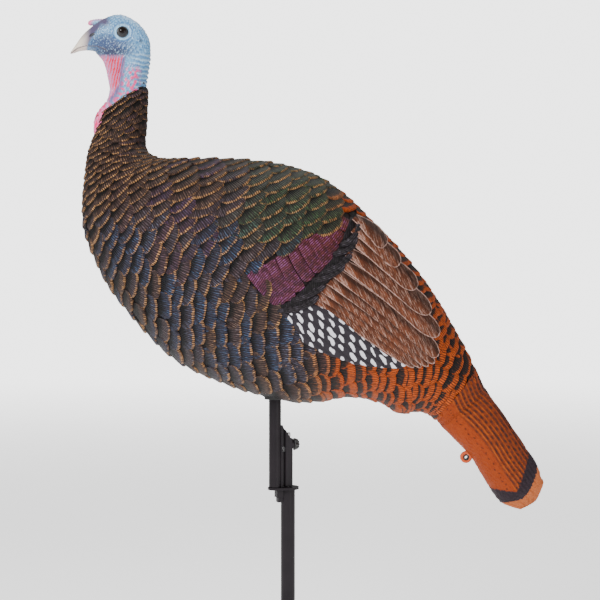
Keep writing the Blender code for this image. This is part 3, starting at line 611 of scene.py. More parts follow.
def nearestSpot(xh):
    # where the body's side shows a given side-view place: (u, v) from the nearest point of a coarse grid,
    # then Newton steps on middle + half line * c = place
    uGrid, cGrid = np.meshgrid(np.linspace(0, 27, 136), np.linspace(-0.97, 0.97, 33), indexing="ij")
    flat = ovalPoint(trunkTable, uGrid, np.arccos(cGrid))[..., [0, 2]].reshape(-1, 2)
    best = np.concatenate([
        ((part[:, None] - flat[None]) ** 2).sum(-1).argmin(1)
        for part in np.array_split(xh, len(xh) // 800 + 1)
    ])
    u, c = uGrid.ravel()[best], cGrid.ravel()[best]
    for _ in range(6):
        miss = xh - sideSpot(u, c)
        du = (sideSpot(u + 0.01, c) - sideSpot(u - 0.01, c)) / 0.02
        dc = (sideSpot(u, c + 0.01) - sideSpot(u, c - 0.01)) / 0.02
        det = du[:, 0] * dc[:, 1] - du[:, 1] * dc[:, 0]
        u = u + np.clip((miss[:, 0] * dc[:, 1] - miss[:, 1] * dc[:, 0]) / det, -0.5, 0.5)
        moved = np.clip((du[:, 0] * miss[:, 1] - du[:, 1] * miss[:, 0]) / det, -0.3, 0.3)
        c = np.clip(c + moved, -0.99, 0.99)
        u = np.clip(u, 0, 27.5)
    return u, np.arccos(c)


def onSide(xh, height):
    # side-view places as seen from the camera, laid on the bird's right side at a height over the skin: the
    # spot on the skin is moved until the raised point is seen where it should be
    seen, flatHeight = xh.reshape(-1, 2), height.ravel()
    aim = view["centre"] + (seen - view["centre"]) * (1 - 70 / view["distance"])
    for _ in range(4):
        point, _, _, normal = ovalFrame(trunkTable, *nearestSpot(aim))
        raised = point + normal * flatHeight[:, None]
        aim = aim + 0.85 * (seen - asSeen(raised))
    return raised.reshape(*height.shape, 3)


def onBothSides(name, grids, paint):
    # (points, barb map, vane map, tints) grids of one wing, joined and mirrored to the other side
    barbs, vanes = (np.vstack([grid[k].reshape(-1, 2) for grid in grids]) for k in (1, 2))
    tints = {key: np.vstack([grid[3][key].reshape(-1, 4) for grid in grids]) for key in grids[0][3]}
    for side, label in ((1, "right"), (-1, "left")):
        allPoints, allFaces, base = [], [], 0
        for points, *_ in grids:
            faces = gridFaces(*points.shape[:2])
            points = points.reshape(-1, 3) * np.array([1, side, 1])
            # whichever way the grid runs, its faces are turned to point away from the middle plane
            a, b, c = (points[faces[:, k]] for k in (0, 1, 3))
            outward = np.median((np.cross(b - a, c - a))[:, 1]) * side
            allFaces.append((faces if outward > 0 else faces[:, ::-1]) + base)
            allPoints.append(points)
            base += len(points)
        addPiece(
            f"{name}_{label}", toWorld(np.vstack(allPoints)), np.vstack(allFaces), "decoy", paint,
            maps={"barb": barbs, "vane": vanes}, tints=tints,
        )
    print(name, len(grids), "on each side")


def quill(start, end, widths, low, high, bend, rows, roundFrom, slant, crown, drop):
    # one long feather in the side view: a bent middle line, half widths along it, a round tip, a crown,
    # and an edge that drops to the skin
    inner = np.linspace(0, 0.8, rows // 2, endpoint=False)
    s = np.concatenate([inner, np.linspace(0.8, 1, rows - rows // 2)])
    t = np.concatenate([[-1, -1], np.linspace(-0.9, 0.9, 11), [1, 1]])
    start, end = np.array(start, float), np.array(end, float)
    way = end - start
    length = np.linalg.norm(way)
    way = way / length
    off = np.array([-way[1], way[0]])
    middle = start + s[:, None] * length * way + (4 * s * (1 - s) * bend)[:, None] * off
    half = np.interp(s, np.linspace(0, 1, len(widths)), widths)
    half = (half * np.sqrt(1 - np.clip((s - roundFrom) / (1 - roundFrom), 0, 1) ** 2))[:, None]
    s, t = np.broadcast_arrays(s[:, None], t)
    across = half * t
    height = low + (high - low) * s**0.8 + crown * (1 - t**2) + crown / 2 * dimple(across, 0.9)
    height[:, [0, -1]] = np.minimum(height[:, [0, -1]] - drop, 1.0)
    height[-1] = height[-1, t.shape[1] // 2] - 0.4
    edge = np.minimum(half * (1 - np.abs(t)), (1 - s) * length * 0.7)
    barb = np.stack([s * length - slant * across, across], -1) / 10
    vane = np.stack([t / 2 + 0.5, 1 - np.clip(edge / 10, 0, 1)], -1)
    return middle[:, None] + across[..., None] * off, height, barb, vane


def evenTints(shape, plume, fringe, gleam):
    # one (colour, amount) for all points of a grid
    pairs = {"plume": plume, "fringe": fringe, "gleam": gleam}
    return {key: np.broadcast_to(np.append(*pair), (*shape, 4)).copy() for key, pair in pairs.items()}


secondaries = {
    "starts": [
        (89, 205), (88, 192), (86, 180), (82, 166), (76, 153), (69, 142), (62, 134), (54, 126), (48, 119),
        (44, 113),
    ],
    "tips": [
        (123.5, 172), (139.5, 151), (159, 125), (174.5, 97), (184, 72), (183, 49), (179, 41), (172, 37.5),
        (164, 36), (156, 36),
    ],
    "widths": [
        (4, 8.5, 9), (5, 9, 10), (5, 10, 11.5), (6, 10, 12), (6, 9, 13), (6, 8, 13), (6, 7, 8), (6, 7, 6.5),
        (6, 7, 5.5), (6, 8, 5),
    ],
    "top": 8.5, "bottom": 3.6,
    "quill": {"bend": 3.0, "rows": 34, "roundFrom": 0.78, "slant": -1.9, "crown": 0.9, "drop": 2.6},
}


def makeSecondaries():
    grids = []
    count = len(secondaries["starts"])
    for k in reversed(range(count)):
        high = secondaries["top"] + (secondaries["bottom"] - secondaries["top"]) * k / (count - 1)
        start, tip, widths = (secondaries[key][k] for key in ("starts", "tips", "widths"))
        xh, height, barb, vane = quill(start, tip, widths, high - 2.2, high, **secondaries["quill"])
        brown = shade(124, 76, 58) * (0.8 + 0.4 * ((k * 37) % 10) / 10)
        tints = evenTints(
            height.shape, (brown, 0.885), (shade(240, 204, 192), 1.8), (shade(240, 204, 190), 1.0),
        )
        # painted shadow: each feather is darkened, and its gleam thinned, along its side under the feather
        # above
        coverShadow = 0.3 + 0.7 * smooth(0.45, -0.25, vane[..., :1] * 2 - 1)
        tints["plume"][..., :3] *= coverShadow
        tints["gleam"][..., 3:] *= coverShadow
        grids.append((onSide(xh, height), barb, vane, tints))
    onBothSides("secondaries", grids, wingPaint)


speculum = {
    "top": [
        (-27, 144), (-17, 149), (-6, 155), (6, 163), (18, 171), (30, 178), (42, 184), (52, 190), (60, 197),
        (67, 206),
    ],
    "bottom": [
        (6, 109), (10, 108), (19, 112), (29, 122), (40, 134), (52, 144), (62, 153), (70, 164), (77, 178),
        (84, 194),
    ],
    "widths": (6.5, 7, 7.5), "low": 2.4, "high": 3.0, "step": 0.14,
    "quill": {"bend": -1.5, "rows": 22, "roundFrom": 0.9, "slant": -0.2, "crown": 0.3, "drop": 1.2},
}


def makeSpeculum():
    # the mauve panel, browner towards its upper end
    grids = []
    count = len(speculum["top"])
    for k in reversed(range(count)):
        mauve = lay(shade(92, 50, 66), np.array(k / (count - 1)), shade(96, 52, 50))
        low, high = (speculum[key] + speculum["step"] * (count - k) for key in ("low", "high"))
        ends = speculum["top"][k], speculum["bottom"][k]
        xh, height, barb, vane = quill(*ends, speculum["widths"], low, high, **speculum["quill"])
        tints = evenTints(height.shape, (mauve, 0.9), (shade(128, 84, 136), 0.7), (shade(136, 88, 130), 1.0))
        grids.append((onSide(xh, height), barb, vane, tints))
    onBothSides("speculum", grids, panelPaint)


ropes = {
    "lines": [
        [(94, 204), (93, 192), (84, 178), (72, 174)], [(92, 185), (86, 172), (76, 166), (64, 163)],
        [(88, 168), (76, 154), (64, 147), (51, 142)], [(80, 153), (68, 143), (56, 137), (40, 135)],
        [(57, 130), (46, 122), (34, 116), (16, 111)], [(49, 118), (38, 108), (22, 102), (2, 100)],
    ],
    "inner": [(84, 206), (79, 192), (72, 176), (63, 160), (51, 146), (38, 133), (18, 113), (0, 104)],
    "outer": [(94, 206), (93, 182), (85, 158), (72, 142), (56, 127), (44, 113), (23, 100), (0, 98)],
    "width": 4.4, "lobe": 5.4, "height": 8.0, "foot": 1.5,
}


def betweenLines(first, second, s, t):
    # a sheet between two guide lines: first * (1 - t) + second * t, both at shares s of their lengths
    places = []
    for line in (np.array(first, float), np.array(second, float)):
        known = np.linspace(0, 1, len(line))
        places.append(np.stack([np.interp(s, known, line[:, k]) for k in (0, 1)], -1)[:, None])
    return places[0] * (1 - t)[None, :, None] + places[1] * t[None, :, None]


def makeRopes():
    # the black edging of the panel: rounded strips swollen into lobes, half height times the lobe's half
    # circle, over a thin sheet between two guide lines
    s, t = np.linspace(0, 1, 60), np.linspace(0, 1, 16)
    xh = betweenLines(ropes["inner"], ropes["outer"], s, t)
    rim = np.minimum(1, np.minimum(t, 1 - t) * 9)[None] * np.minimum(1, np.minimum(s, 1 - s) * 25)[:, None]
    tints = evenTints(rim.shape, (shade(26, 22, 24), 2.0), (soot, 0), (shade(66, 60, 66), 0.6))
    grids = [(onSide(xh, 0.5 + 4.2 * rim), xh / 10, xh * 0 + 0.9, tints)]
    for index, line in enumerate(ropes["lines"]):
        line = np.array(line, float)
        run = np.concatenate([[0], np.cumsum(np.linalg.norm(np.diff(line, axis=0), axis=1))])
        s = np.linspace(0, run[-1], int(run[-1] / 0.8))
        fit = np.stack([np.polyval(np.polyfit(run, line[:, k], 3), s) for k in (0, 1)], -1)
        way = np.gradient(fit, axis=0)
        way /= np.linalg.norm(way, axis=1, keepdims=True)
        off = np.stack([-way[:, 1], way[:, 0]], -1)[:, None]
        s, skew = np.broadcast_arrays(s[:, None], np.linspace(-1, 1, 11))
        ends = np.sqrt(np.clip(1 - (2 * s / run[-1] - 1) ** 6, 0, 1))
        half = ropes["width"] * (0.8 + 0.2 * np.abs(np.sin(np.pi * s / ropes["lobe"])) ** 0.5) * ends
        dome = np.sqrt(np.clip(1 - skew**2, 0, 1))
        lobe = np.abs(np.sin(np.pi * (s + 1.6 * skew) / ropes["lobe"])) ** 0.6
        full = ropes["height"] - index * 0.3 - ropes["foot"]
        height = ropes["foot"] + full * dome**0.6 * ends + 1.5 * (lobe - 1) * dome * ends
        barb = np.stack([skew * half, s], -1) / 10
        vane = np.stack([skew / 2 + 0.5, 0.4 + 0.5 * lobe * dome], -1)
        tints = evenTints(height.shape, (shade(44, 39, 42), 2.0), (soot, 0), (shade(88, 82, 90), 1.0))
        grids.append((onSide(fit[:, None] + (half * skew)[..., None] * off, height), barb, vane, tints))
    onBothSides("panel_edging", grids, wingPaint)


primaries = {
    "upper": [(-2, 100), (18, 106), (40, 112), (60, 104), (84, 86), (106, 66), (128, 50), (152, 40)],
    "lower": [(14, 92), (24, 78), (32, 62), (46, 54), (66, 46), (90, 38.5), (116, 35.5), (147, 34.5)],
    "rows": 120, "columns": 44, "turn": -36, "base": -1.0, "height": 3.4, "step": 0.9,
    "pitch": (14.5, 8.6), "spot": (5.9, 2.15), "spotTurn": 0.42,  # millimetres between and across the spots
}


def spottedPaint():
    # white slanted spots on black, on a staggered lattice of the sheet's own millimetres
    w = Wiring("spotted primaries")
    place = w.uv("barb")
    (pitchX, pitchY), (spotX, spotY) = primaries["pitch"], primaries["spot"]
    cosine, sine = np.cos(primaries["spotTurn"]), np.sin(primaries["spotTurn"])
    jitter = w.around(w.noise(120, 1), 0.5, 0.5)
    a = w.plus(w.times(place[0], 10.0 / pitchX), jitter)
    b = w.plus(w.times(place[1], 10.0 / pitchY), w.times(jitter, 0.35))
    x = w.around(w.calc("FRACT", w.line(w.calc("FLOOR", b), 0.46, a)), 0.5, pitchX)
    y = w.around(w.calc("FRACT", b), 0.5, pitchY)
    p = w.plus(w.times(x, cosine), w.times(y, -sine))
    q = w.plus(w.times(x, sine), w.times(y, cosine))
    far = w.plus(
        w.calc("POWER", w.calc("ABSOLUTE", w.calc("DIVIDE", p, spotX)), 1.6),
        w.calc("POWER", w.calc("ABSOLUTE", w.calc("DIVIDE", q, spotY)), 2.0),
    )
    ragged, patches = w.around(w.noise(500, 2), 0.5, 0.9), w.around(w.noise(90, 1), 0.45, 2.6)
    spot = w.ramp(w.plus(far, w.plus(ragged, patches)), 1.15, 0.85)
    strand = w.wave(w.plus(w.times(place[0], 44.0), w.times(place[1], 44.0)))
    ground = w.mix(w.times(strand, 0.6), shade(20, 17, 20), shade(70, 64, 72))
    return w.finish(
        Base_Color=w.mix(spot, ground, shade(236, 234, 240)), Roughness=0.55, Specular_IOR_Level=0.2,
        relief=(w.plus(w.times(spot, 0.7), strand), 0.3, 0.8),
    )


def makePrimaries():
    # one sheet between two guide lines, stepped along its length where the feathers overlap
    s, t = np.linspace(0, 1, primaries["rows"]), np.linspace(0, 1, primaries["columns"])
    xh = betweenLines(primaries["upper"], primaries["lower"], s, t)
    turn = np.radians(primaries["turn"])
    a = xh[..., 0] * np.cos(turn) + xh[..., 1] * np.sin(turn)
    b = -xh[..., 0] * np.sin(turn) + xh[..., 1] * np.cos(turn)
    rim = np.minimum(1, np.minimum(t, 1 - t)[None] * 14) * np.minimum(1, np.minimum(s, 1 - s)[:, None] * 20)
    step = primaries["step"] * ((b / primaries["pitch"][1]) % 1)
    height = primaries["base"] + rim * (primaries["height"] + step)
    barb = np.stack([a, b], -1) / 10
    onBothSides("spotted_primaries", [(onSide(xh, height), barb, barb * 0, {})], spottedPaint())


makeSecondaries()
makeSpeculum()
makeRopes()
makePrimaries()


def layAll(paint, layers):
    # layer upon layer of (share, screen colour)
    for share, colour in layers:
        paint = lay(paint, share, shade(*colour))
    return paint


def paintedSkin(name, relief, scale, roughness, coat=0.0):
    # skin whose colours are painted point by point, with fine grain in its relief
    w = Wiring(name)
    paint, _ = w.attribute("paint")
    grain = w.noise(scale, 4, roughness=0.6)
    return w.finish(
        Base_Color=w.shaded(paint, w.line(grain, 0.5, 0.75)), Roughness=w.line(grain, 0.3, roughness - 0.15),
        Coat_Weight=coat, relief=(grain, relief, 0.8),
    )


def carved():
    # tail paint: fine barbs run slantwise down the vanes
    w = Wiring("carved tail feathers")
    paint, _ = w.attribute("paint")
    barb, grain = w.uv("barb"), w.noise(700, 3)
    across = w.times(w.calc("SUBTRACT", barb[1], w.times(barb[0], 1.1)), 46.0)
    strand = w.wave(w.plus(across, w.times(grain, 3.0)))
    value = w.plus(w.line(strand, 0.42, 0.45), w.times(grain, 0.35))
    return w.finish(
        Base_Color=w.shaded(paint, value), Roughness=0.62, Specular_IOR_Level=0.15,
        relief=(w.plus(strand, grain), 0.25, 0.9),
    )


tail = {
    "rows": 330, "columns": 200, "ridges": 12.5, "ridgeHeight": 1.3,
    # where the black band begins and ends along the tail, by the share round its section
    "round": [0, 0.2, 0.62, 0.8, 1], "bandStart": [3.15, 3.6, 4.75, 4.4, 4.0],
    "bandEnd": [4.2, 4.65, 5.85, 5.5, 5.2],
}


def makeTail():
    # the folded tail over the trunk's last sections; ridges are a saw of the share across it
    tip = lastRow - 0.1  # from here on the skin closes over the end
    ending = tip + 0.1 * np.sin(np.linspace(0.1, 1, 12) * np.pi / 2)
    u = np.concatenate([np.linspace(18.9, tip, tail["rows"] - 12), ending])
    u, v = np.meshgrid(u, turnAround(tail["columns"]), indexing="ij")
    point, _, _, normal = ovalFrame(trunkTable, np.minimum(u, lastRow - 0.05), v)
    q = (1 - np.cos(v)) / 2
    own = u - tailStart
    lean = q + 0.018 * np.sin(own * 1.7) + 0.01 * (own - 3)
    upper = smooth(0.66, 0.60, q) * smooth(5.4, 4.6, own + 0.6 * np.abs(q - 0.6))
    saw = (lean * tail["ridges"]) % 1
    ridge = smooth(0.0, 0.2, saw) * smooth(1.0, 0.55, saw)
    streak = ripple(np.stack([own * 30, q * 260, v * 0], -1), 9, 3)
    fine = ripple(np.stack([own * 18 + q * 60, q * 420, v * 0], -1), 5, 4)
    start = np.interp(q, tail["round"], tail["bandStart"]) + 0.05 * fine
    end = np.interp(q, tail["round"], tail["bandEnd"]) + 0.07 * fine
    band = smooth(-0.03, 0.03, own - start) * smooth(0.03, -0.03, own - end)
    pale = smooth(-0.02, 0.02, own - end)
    paleStep = 1.2 * smooth(0.1, 0.0, np.abs(((q * 5.2 + 0.3 * own) % 1) - 0.5)) * pale
    height = tail["ridgeHeight"] * ridge * upper + 0.25 * fine * (1 - upper) + 0.5 * band
    height = height - paleStep * 0.8 + 0.15 * streak
    centre = ovalPoint(trunkTable, np.full_like(u, lastRow - 0.05), v).mean(axis=1, keepdims=True)
    points = point + normal * height[..., None]
    closing = np.clip((lastRow - u) / 0.1, 0, 1)[..., None] ** 0.5
    points = np.where(u[..., None] > tip, centre + (points - centre) * closing, points)
    dash = smooth(0.012, 0.004, np.abs(q - 0.74 - 0.02 * np.sin(own * 9)))
    dash = dash * smooth(0.1, 0.6, np.sin(own * 22))
    stripe = smooth(0.25, 0.6, saw) * smooth(1.0, 0.8, saw)
    colour = layAll(shade(150, 74, 38) + 0 * q[..., None], [
        (0.5 * upper, (112, 60, 46)),
        (upper * stripe * (0.75 + 0.5 * streak).clip(0, 1), (52, 32, 30)),
        (upper * smooth(0.22, 0.05, np.abs(saw - 0.12)) * (0.6 + 0.4 * fine).clip(0, 1), (196, 108, 66)),
        ((1 - upper) * smooth(0.2, 0.9, fine) * 0.45, (116, 48, 32)),
        (dash * (1 - upper), (34, 26, 26)),
        (smooth(0.06, 0.02, q) * (1 - pale) * 0.75, (60, 42, 42)),
    ])
    buff = lay(shade(190, 116, 84), 0.3 * smooth(0, 1, fine), shade(170, 82, 44))
    colour = lay(colour, pale, buff)
    colour = lay(colour, band, shade(46, 36, 42) * (0.8 + 0.4 * fine.clip(0, 1))[..., None])
    barb = np.stack([q * 70 + own * 4, own * 17], -1) / 10
    addCapped(
        "tail_feathers", toWorld(withEnds(points)), u.shape, "decoy", carved(), ["tail_fan"],
        {"barb": withEnds(barb)}, {"paint": withEnds(np.clip(colour, 0.004, 1))},
    )
    print("tail", u.shape, "points")


makeTail()

lug = {
    "x": 213.8, "h": -63.9, "radius": 6.5, "bore": 3.45, "half": 2.5, "reach": 9.0, "lean": 50,
    # the rim's section: shares of the way out from the bore, and of the half thickness
    "section": [
        (0, -1), (0, 0), (0, 1), (0.5, 1), (0.86, 0.92), (1, 0.55), (1, -0.55), (0.86, -0.92), (0.5, -1),
    ],
}
lugPaint = paintedSkin("lug skin", 0.2, 500, 0.55)


def makeLug():
    # the tie lug: a flat ring whose outline stretches into the tail, carried round with a rounded rim section
    theta = turnAround(72)
    near = np.clip(np.cos(theta - np.radians(90 - lug["lean"])), 0, 1)
    outer = lug["radius"] + lug["reach"] * near**6
    section = np.array(lug["section"], float)
    radius = lug["bore"] + (outer - lug["bore"])[:, None] * section[None, :, 0]
    side = np.broadcast_to(lug["half"] * section[None, :, 1], radius.shape)
    theta = theta[:, None]
    points = np.stack([lug["x"] + radius * np.cos(theta), side, lug["h"] + radius * np.sin(theta)], -1)
    faces = gridFaces(*radius.shape, closed=True, ringed=True)[:, [0, 3, 2, 1]]
    paint = np.broadcast_to(shade(184, 88, 52), (radius.size, 3))
    addPiece(
        "tie_lug", toWorld(points.reshape(-1, 3)), faces, "decoy", lugPaint,
        tints={"paint": paint},
    )
    print("lug", radius.size, "points")


makeLug()

# lines and spots are side-view millimetres
head = {
    "rows": 330, "columns": 240, "bumpSize": 3.1, "bump": 0.42, "foldPitch": 3.4, "fold": 1.0,
    "wrinklePitch": 5.2, "wrinkle": 0.7, "ear": (-151, 402.5), "nostril": (-204.5, 409),
    "plug": [(-149, 300, -205, 276, 14), (-147, 325, -203, 294, 17), (-145.6, 340, -202.8, 304, 18.4)],
    "crease": [(-170, 381), (-170.5, 372), (-171.5, 362), (-173, 352), (-177, 343), (-184, 334)],
    "mouth": [
        (-229, 388.2), (-221, 394.3), (-215, 396.3), (-210, 397), (-199, 396.4), (-191, 393.5), (-188, 391),
    ],
}
headPaint = paintedSkin("painted head skin", 0.12, 1400, 0.42, 0.15)


def fromLine(line, x, h):
    # distance to a bent line: the least of the distances to its parts
    best = np.full(x.shape, 1e9)
    for (x0, h0), (x1, h1) in zip(line[:-1], line[1:]):
        t = np.clip(((x - x0) * (x1 - x0) + (h - h0) * (h1 - h0)) / np.hypot(x1 - x0, h1 - h0) ** 2, 0, 1)
        best = np.minimum(best, np.hypot(x - x0 - t * (x1 - x0), h - h0 - t * (h1 - h0)))
    return best


def patch(across, up, sharp):
    # a soft oval patch, 1 in its middle: exp of minus the squared distance to a power
    return np.exp(-((across**2 + up**2) ** sharp))


def makeHead():
    # the head and bare neck over their sections, from a plug inside the collar to the beak's tip
    table = np.vstack([head["plug"], headTable])
    crease, mouth = np.array(head["crease"]), np.array(head["mouth"])
    inCollar = np.linspace(0, 3, 20, endpoint=False)
    u = np.concatenate([inCollar, np.linspace(3, len(table) - 1.02, head["rows"] - 20)])
    u, v = np.meshgrid(u, turnAround(head["columns"]), indexing="ij")
    point, _, _, normal = ovalFrame(table, u, v)
    x, h = np.moveaxis(asSeen(point), -1, 0)
    solid = np.stack([x, point[..., 1], h], -1)
    off = np.abs(point[..., 1])
    side = smooth(2, 6, off)

    # zones
    beak = smooth(9.9, 10.8, u - 3 + 0.25 * smooth(400, 412, h))
    skin = 1 - beak
    throat = smooth(3, -1, x - np.interp(h, crease[::-1, 1], crease[::-1, 0])) * smooth(329, 336, h)
    throat = throat * smooth(388, 380, h)
    lobe = smooth(336, 330, h) * smooth(-182, -190, x + 0.3 * (h - 320))
    nape = smooth(-166, -154, x) * smooth(392, 384, h) * smooth(335, 350, h)
    folds = np.cos((x - 0.22 * h) * 2 * np.pi / head["foldPitch"] + 1.4 * ripple(solid, 14, 21))
    wrinkles = np.cos((h + 0.15 * x) * 2 * np.pi / head["wrinklePitch"] + 0.9 * ripple(solid, 16, 22))
    bumps = ripple(solid, head["bumpSize"], 23, 30)
    beads = ripple(solid, head["bumpSize"] * 1.7, 24, 30)

    # distances from the eye, the ear, the nostril, the crease and the mouth
    eyeLow, eyeHigh = (np.array(corner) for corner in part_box("right_eye"))
    eyeX, eyeH = asSeen((eyeLow + eyeHigh) / 2 / mm - np.array([rodX, rodY, bellyZ]) / mm)
    eyeFar = np.hypot(x - eyeX, (h - eyeH) * 1.05)
    earFar = np.hypot((x - head["ear"][0]) * 1.3, h - head["ear"][1])
    holeX, holeH = x - head["nostril"][0], h - head["nostril"][1]
    holeFar = np.hypot(holeX * 0.8 + holeH * 0.5, (holeH * 0.9 - holeX * 0.55) * 2.1)
    creaseFar, mouthFar = fromLine(crease, x, h), fromLine(mouth, x, h)

    height = skin * (1 - throat) * (head["bump"] * bumps * smooth(5, 9, eyeFar))
    height += skin * throat * (head["fold"] * folds + 0.35 * bumps) * side
    height += 0.6 * lobe * skin * np.maximum(beads, -0.2)
    height += skin * nape * head["wrinkle"] * wrinkles * (1 - throat)
    height -= 2.2 * dimple(creaseFar, 2.2) * side
    height += 1.3 * dimple(eyeFar - 8.4, 1.5) * side - 1.2 * smooth(7.6, 5.5, eyeFar) * side
    height -= 2.4 * dimple(earFar, 1.7) * side - 0.5 * dimple(earFar - 3.4, 1.2) * side
    height -= 1.8 * dimple(holeFar, 2.8) * smooth(1, 3, off)
    height -= 0.75 * dimple(mouthFar, 0.55) * smooth(0.3, 1.5, off)
    height *= smooth(len(table) - 1.1, len(table) - 2.0, u)
    points = point + normal * height[..., None]

    cheek = patch((x + 186) / 27, (h - 398 + 0.12 * (x + 184)) / 13, 1.8) * smooth(7.5, 10.5, eyeFar)
    jaw = patch((x + 184) / 20, (h - 389.5) / 6, 1.5)
    dots = smooth(0.0, 0.25, beads + 0.2 * bumps) * smooth(378, 366, h) * smooth(-148, -156, x)
    crown = patch((x + 191) / 6, (h - 424) / 5.5, 1.4) + patch((x + 203) / 8, (h - 417) / 4, 1.4)
    ridge = np.abs(x - np.interp(h, [333, 345, 360, 372, 388], [-189, -184.5, -187, -189, -196]))
    paint = layAll(shade(118, 160, 196) + 0 * x[..., None], [
        (smooth(0.0, 0.8, bumps) * 0.55 * skin, (190, 216, 236)),
        (smooth(-0.1, -0.8, bumps) * 0.7 * skin, (72, 104, 146)),
        (cheek * 0.95, (50, 64, 100)),
        (jaw * 0.9, (26, 32, 62)),
        (np.maximum(cheek, jaw) * smooth(0.35, 1.1, bumps) * 0.7, (164, 190, 216)),
        (nape * smooth(0.1, -0.9, wrinkles) * 0.75, (88, 126, 166)),
        (nape * smooth(0.3, 0.9, wrinkles) * 0.6, (206, 228, 242)),
        (throat, (206, 150, 186)),
        (throat * smooth(-0.5, 0.3, folds + 0.6 * beads), (226, 44, 92)),
        (throat * smooth(-0.55, -1.0, folds) * 0.5, (120, 104, 150)),
        (throat * smooth(7, 1, ridge) * 0.55, (214, 168, 206)),
        (lobe, (232, 140, 176)),
        (lobe * smooth(0.0, 0.5, beads), (240, 84, 130)),
        (dots * (1 - throat) * (1 - lobe) * 0.9, (238, 96, 140)),
        (dimple(creaseFar, 2.0) * side * 0.85, (84, 106, 148)),
        (crown * 0.9, (78, 58, 84)),
    ])
    pale = smooth(-205, -220, x)[..., None]
    horn = shade(84, 78, 104) * (1 - smooth(-205, -221, x))[..., None] + shade(232, 220, 208) * pale
    lower = smooth(0.5, -0.5, h - np.interp(x, mouth[:, 0], mouth[:, 1]))
    paint = lay(paint, beak, lay(horn, lower * 0.8, shade(222, 208, 200)))
    paint = layAll(paint, [
        (dimple(mouthFar, 0.6) * 0.85, (70, 56, 62)),
        (smooth(4.4, 2.6, holeFar) * 0.97, (24, 22, 30)),
        (dimple(earFar, 2.0) * side * 0.9, (40, 48, 66)),
        (dimple(eyeFar - 11.0, 0.9) * side * 0.7, (70, 104, 150)),
        (smooth(10.2, 9.2, eyeFar) * side, (166, 202, 228)),
        (smooth(7.2, 6.6, eyeFar) * side, (18, 18, 22)),
    ])
    addCapped(
        "head_skin", toWorld(withEnds(points, (-0.3, 0, -0.2))), u.shape, "decoy", headPaint,
        ["head"], tints={"paint": withEnds(np.clip(paint, 0.004, 1))},
    )
    print("head", u.shape, "points")


makeHead()

snood = {"rows": 30, "columns": 28, "root": (-191.0, 421.6), "length": 18.6, "radius": 5.2, "taper": 2.7}


def makeSnood():
    # a soft cone along a short bent path: ring radius shrinks to a round end
    s, theta = np.linspace(0, 1, snood["rows"]), turnAround(snood["columns"])
    x, h = snood["root"]
    path = np.stack([x - snood["length"] * s, 0 * s, h + 1.6 * np.sin(s * 2.4) - 0.9 * s], -1)
    closing = np.sqrt(np.clip(1 - ((s - 0.86) / 0.14).clip(0, 1) ** 2, 0, 1))
    radius = ((snood["radius"] - snood["taper"] * s) * closing + 0.01) * (1 + 0.06 * np.sin(s * 40))
    ring = np.stack([0 * theta, np.cos(theta), np.sin(theta)], -1)
    points = path[:, None] + ring[None] * radius[:, None, None]
    points = np.vstack([points.reshape(-1, 3), path[:1], path[-1:] + [[-0.05, 0, 0]]])
    pink = smooth(0.55, 0.95, s)[:, None] + np.clip(np.sin(theta), 0, 1)[None] * 0.6
    paint = withEnds(lay(shade(140, 178, 208), pink, shade(232, 130, 168)))
    size = snood["rows"], snood["columns"]
    addCapped(
        "snood", toWorld(points), size, "decoy", headPaint, tints={"paint": paint},
        turned=True,
    )
    print("snood", size, "points")


makeSnood()

eyes = {"radius": 6.25, "lidRadius": 6.3, "lidTube": 1.15, "lidOut": 1.2, "lidSunk": 0.2}


def makeEyes():
    # balls about the middles of the CAD eyes, and a wavy ring of lid round each
    w = Wiring("eye glass")
    colour = w.mix(w.noise(60, 2), (0.003, 0.002, 0.002), (0.012, 0.007, 0.005))
    glass = w.finish(Base_Color=colour, Roughness=0.05, Specular_IOR_Level=0.14)
    a, b = np.meshgrid(np.linspace(0.04, np.pi - 0.04, 40), turnAround(64), indexing="ij")
    along, about = np.meshgrid(turnAround(72), turnAround(16), indexing="ij")
    tube = eyes["lidTube"] * (1 + 0.12 * np.sin(5 * along))
    reach = eyes["lidRadius"] + tube * np.cos(about)
    lidFaces = gridFaces(72, 16, closed=True, ringed=True)
    for node, side in (("left_eye", -1), ("right_eye", 1)):
        low, high = (np.array(corner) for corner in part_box(node))
        centre = (low + high) / 2
        ball = np.stack([np.sin(a) * np.cos(b), side * np.cos(a), np.sin(a) * np.sin(b)], -1)
        ball = np.vstack([ball.reshape(-1, 3), [(0, side, 0), (0, -side, 0)]]) * eyes["radius"] * mm + centre
        addCapped(node + "_glass", ball, a.shape, "decoy", glass, [node], turned=side > 0)
        out = side * (eyes["lidOut"] + tube * np.sin(about))
        lid = np.stack([reach * np.cos(along), out, reach * np.sin(along) * 0.98], -1) * mm + centre
        lid[..., 1] -= side * eyes["lidSunk"] * mm
        paint = np.broadcast_to(shade(150, 190, 220), (lid[..., 0].size, 3))
        addPiece(
            node.replace("eye", "eyelid"), lid.reshape(-1, 3), lidFaces if side > 0 else lidFaces[:, ::-1],
            "decoy", headPaint, tints={"paint": paint},
        )
    print("eyes and eyelids, two of each")


makeEyes()

hardware = {
    "coatGrain": 2600, "steelGrain": 900, "nylonGrain": 1800, "rodWall": 1.2, "tubeWall": 1.4, "bevel": 0.35,
}


def powderCoat():
    # satin black coat: a fine orange-peel relief, with rubbed, slightly shinier patches
    w = Wiring("black powder coat")
    peel, rubbed = w.noise(hardware["coatGrain"], 3), w.noise(45, 4)
    colour = w.mix(rubbed, (0.006, 0.005, 0.006), (0.016, 0.012, 0.015))
    rough = w.line(rubbed, -0.22, 0.52)
    return w.finish(Base_Color=colour, Roughness=rough, Specular_IOR_Level=0.14, relief=(peel, 0.05, 0.6))


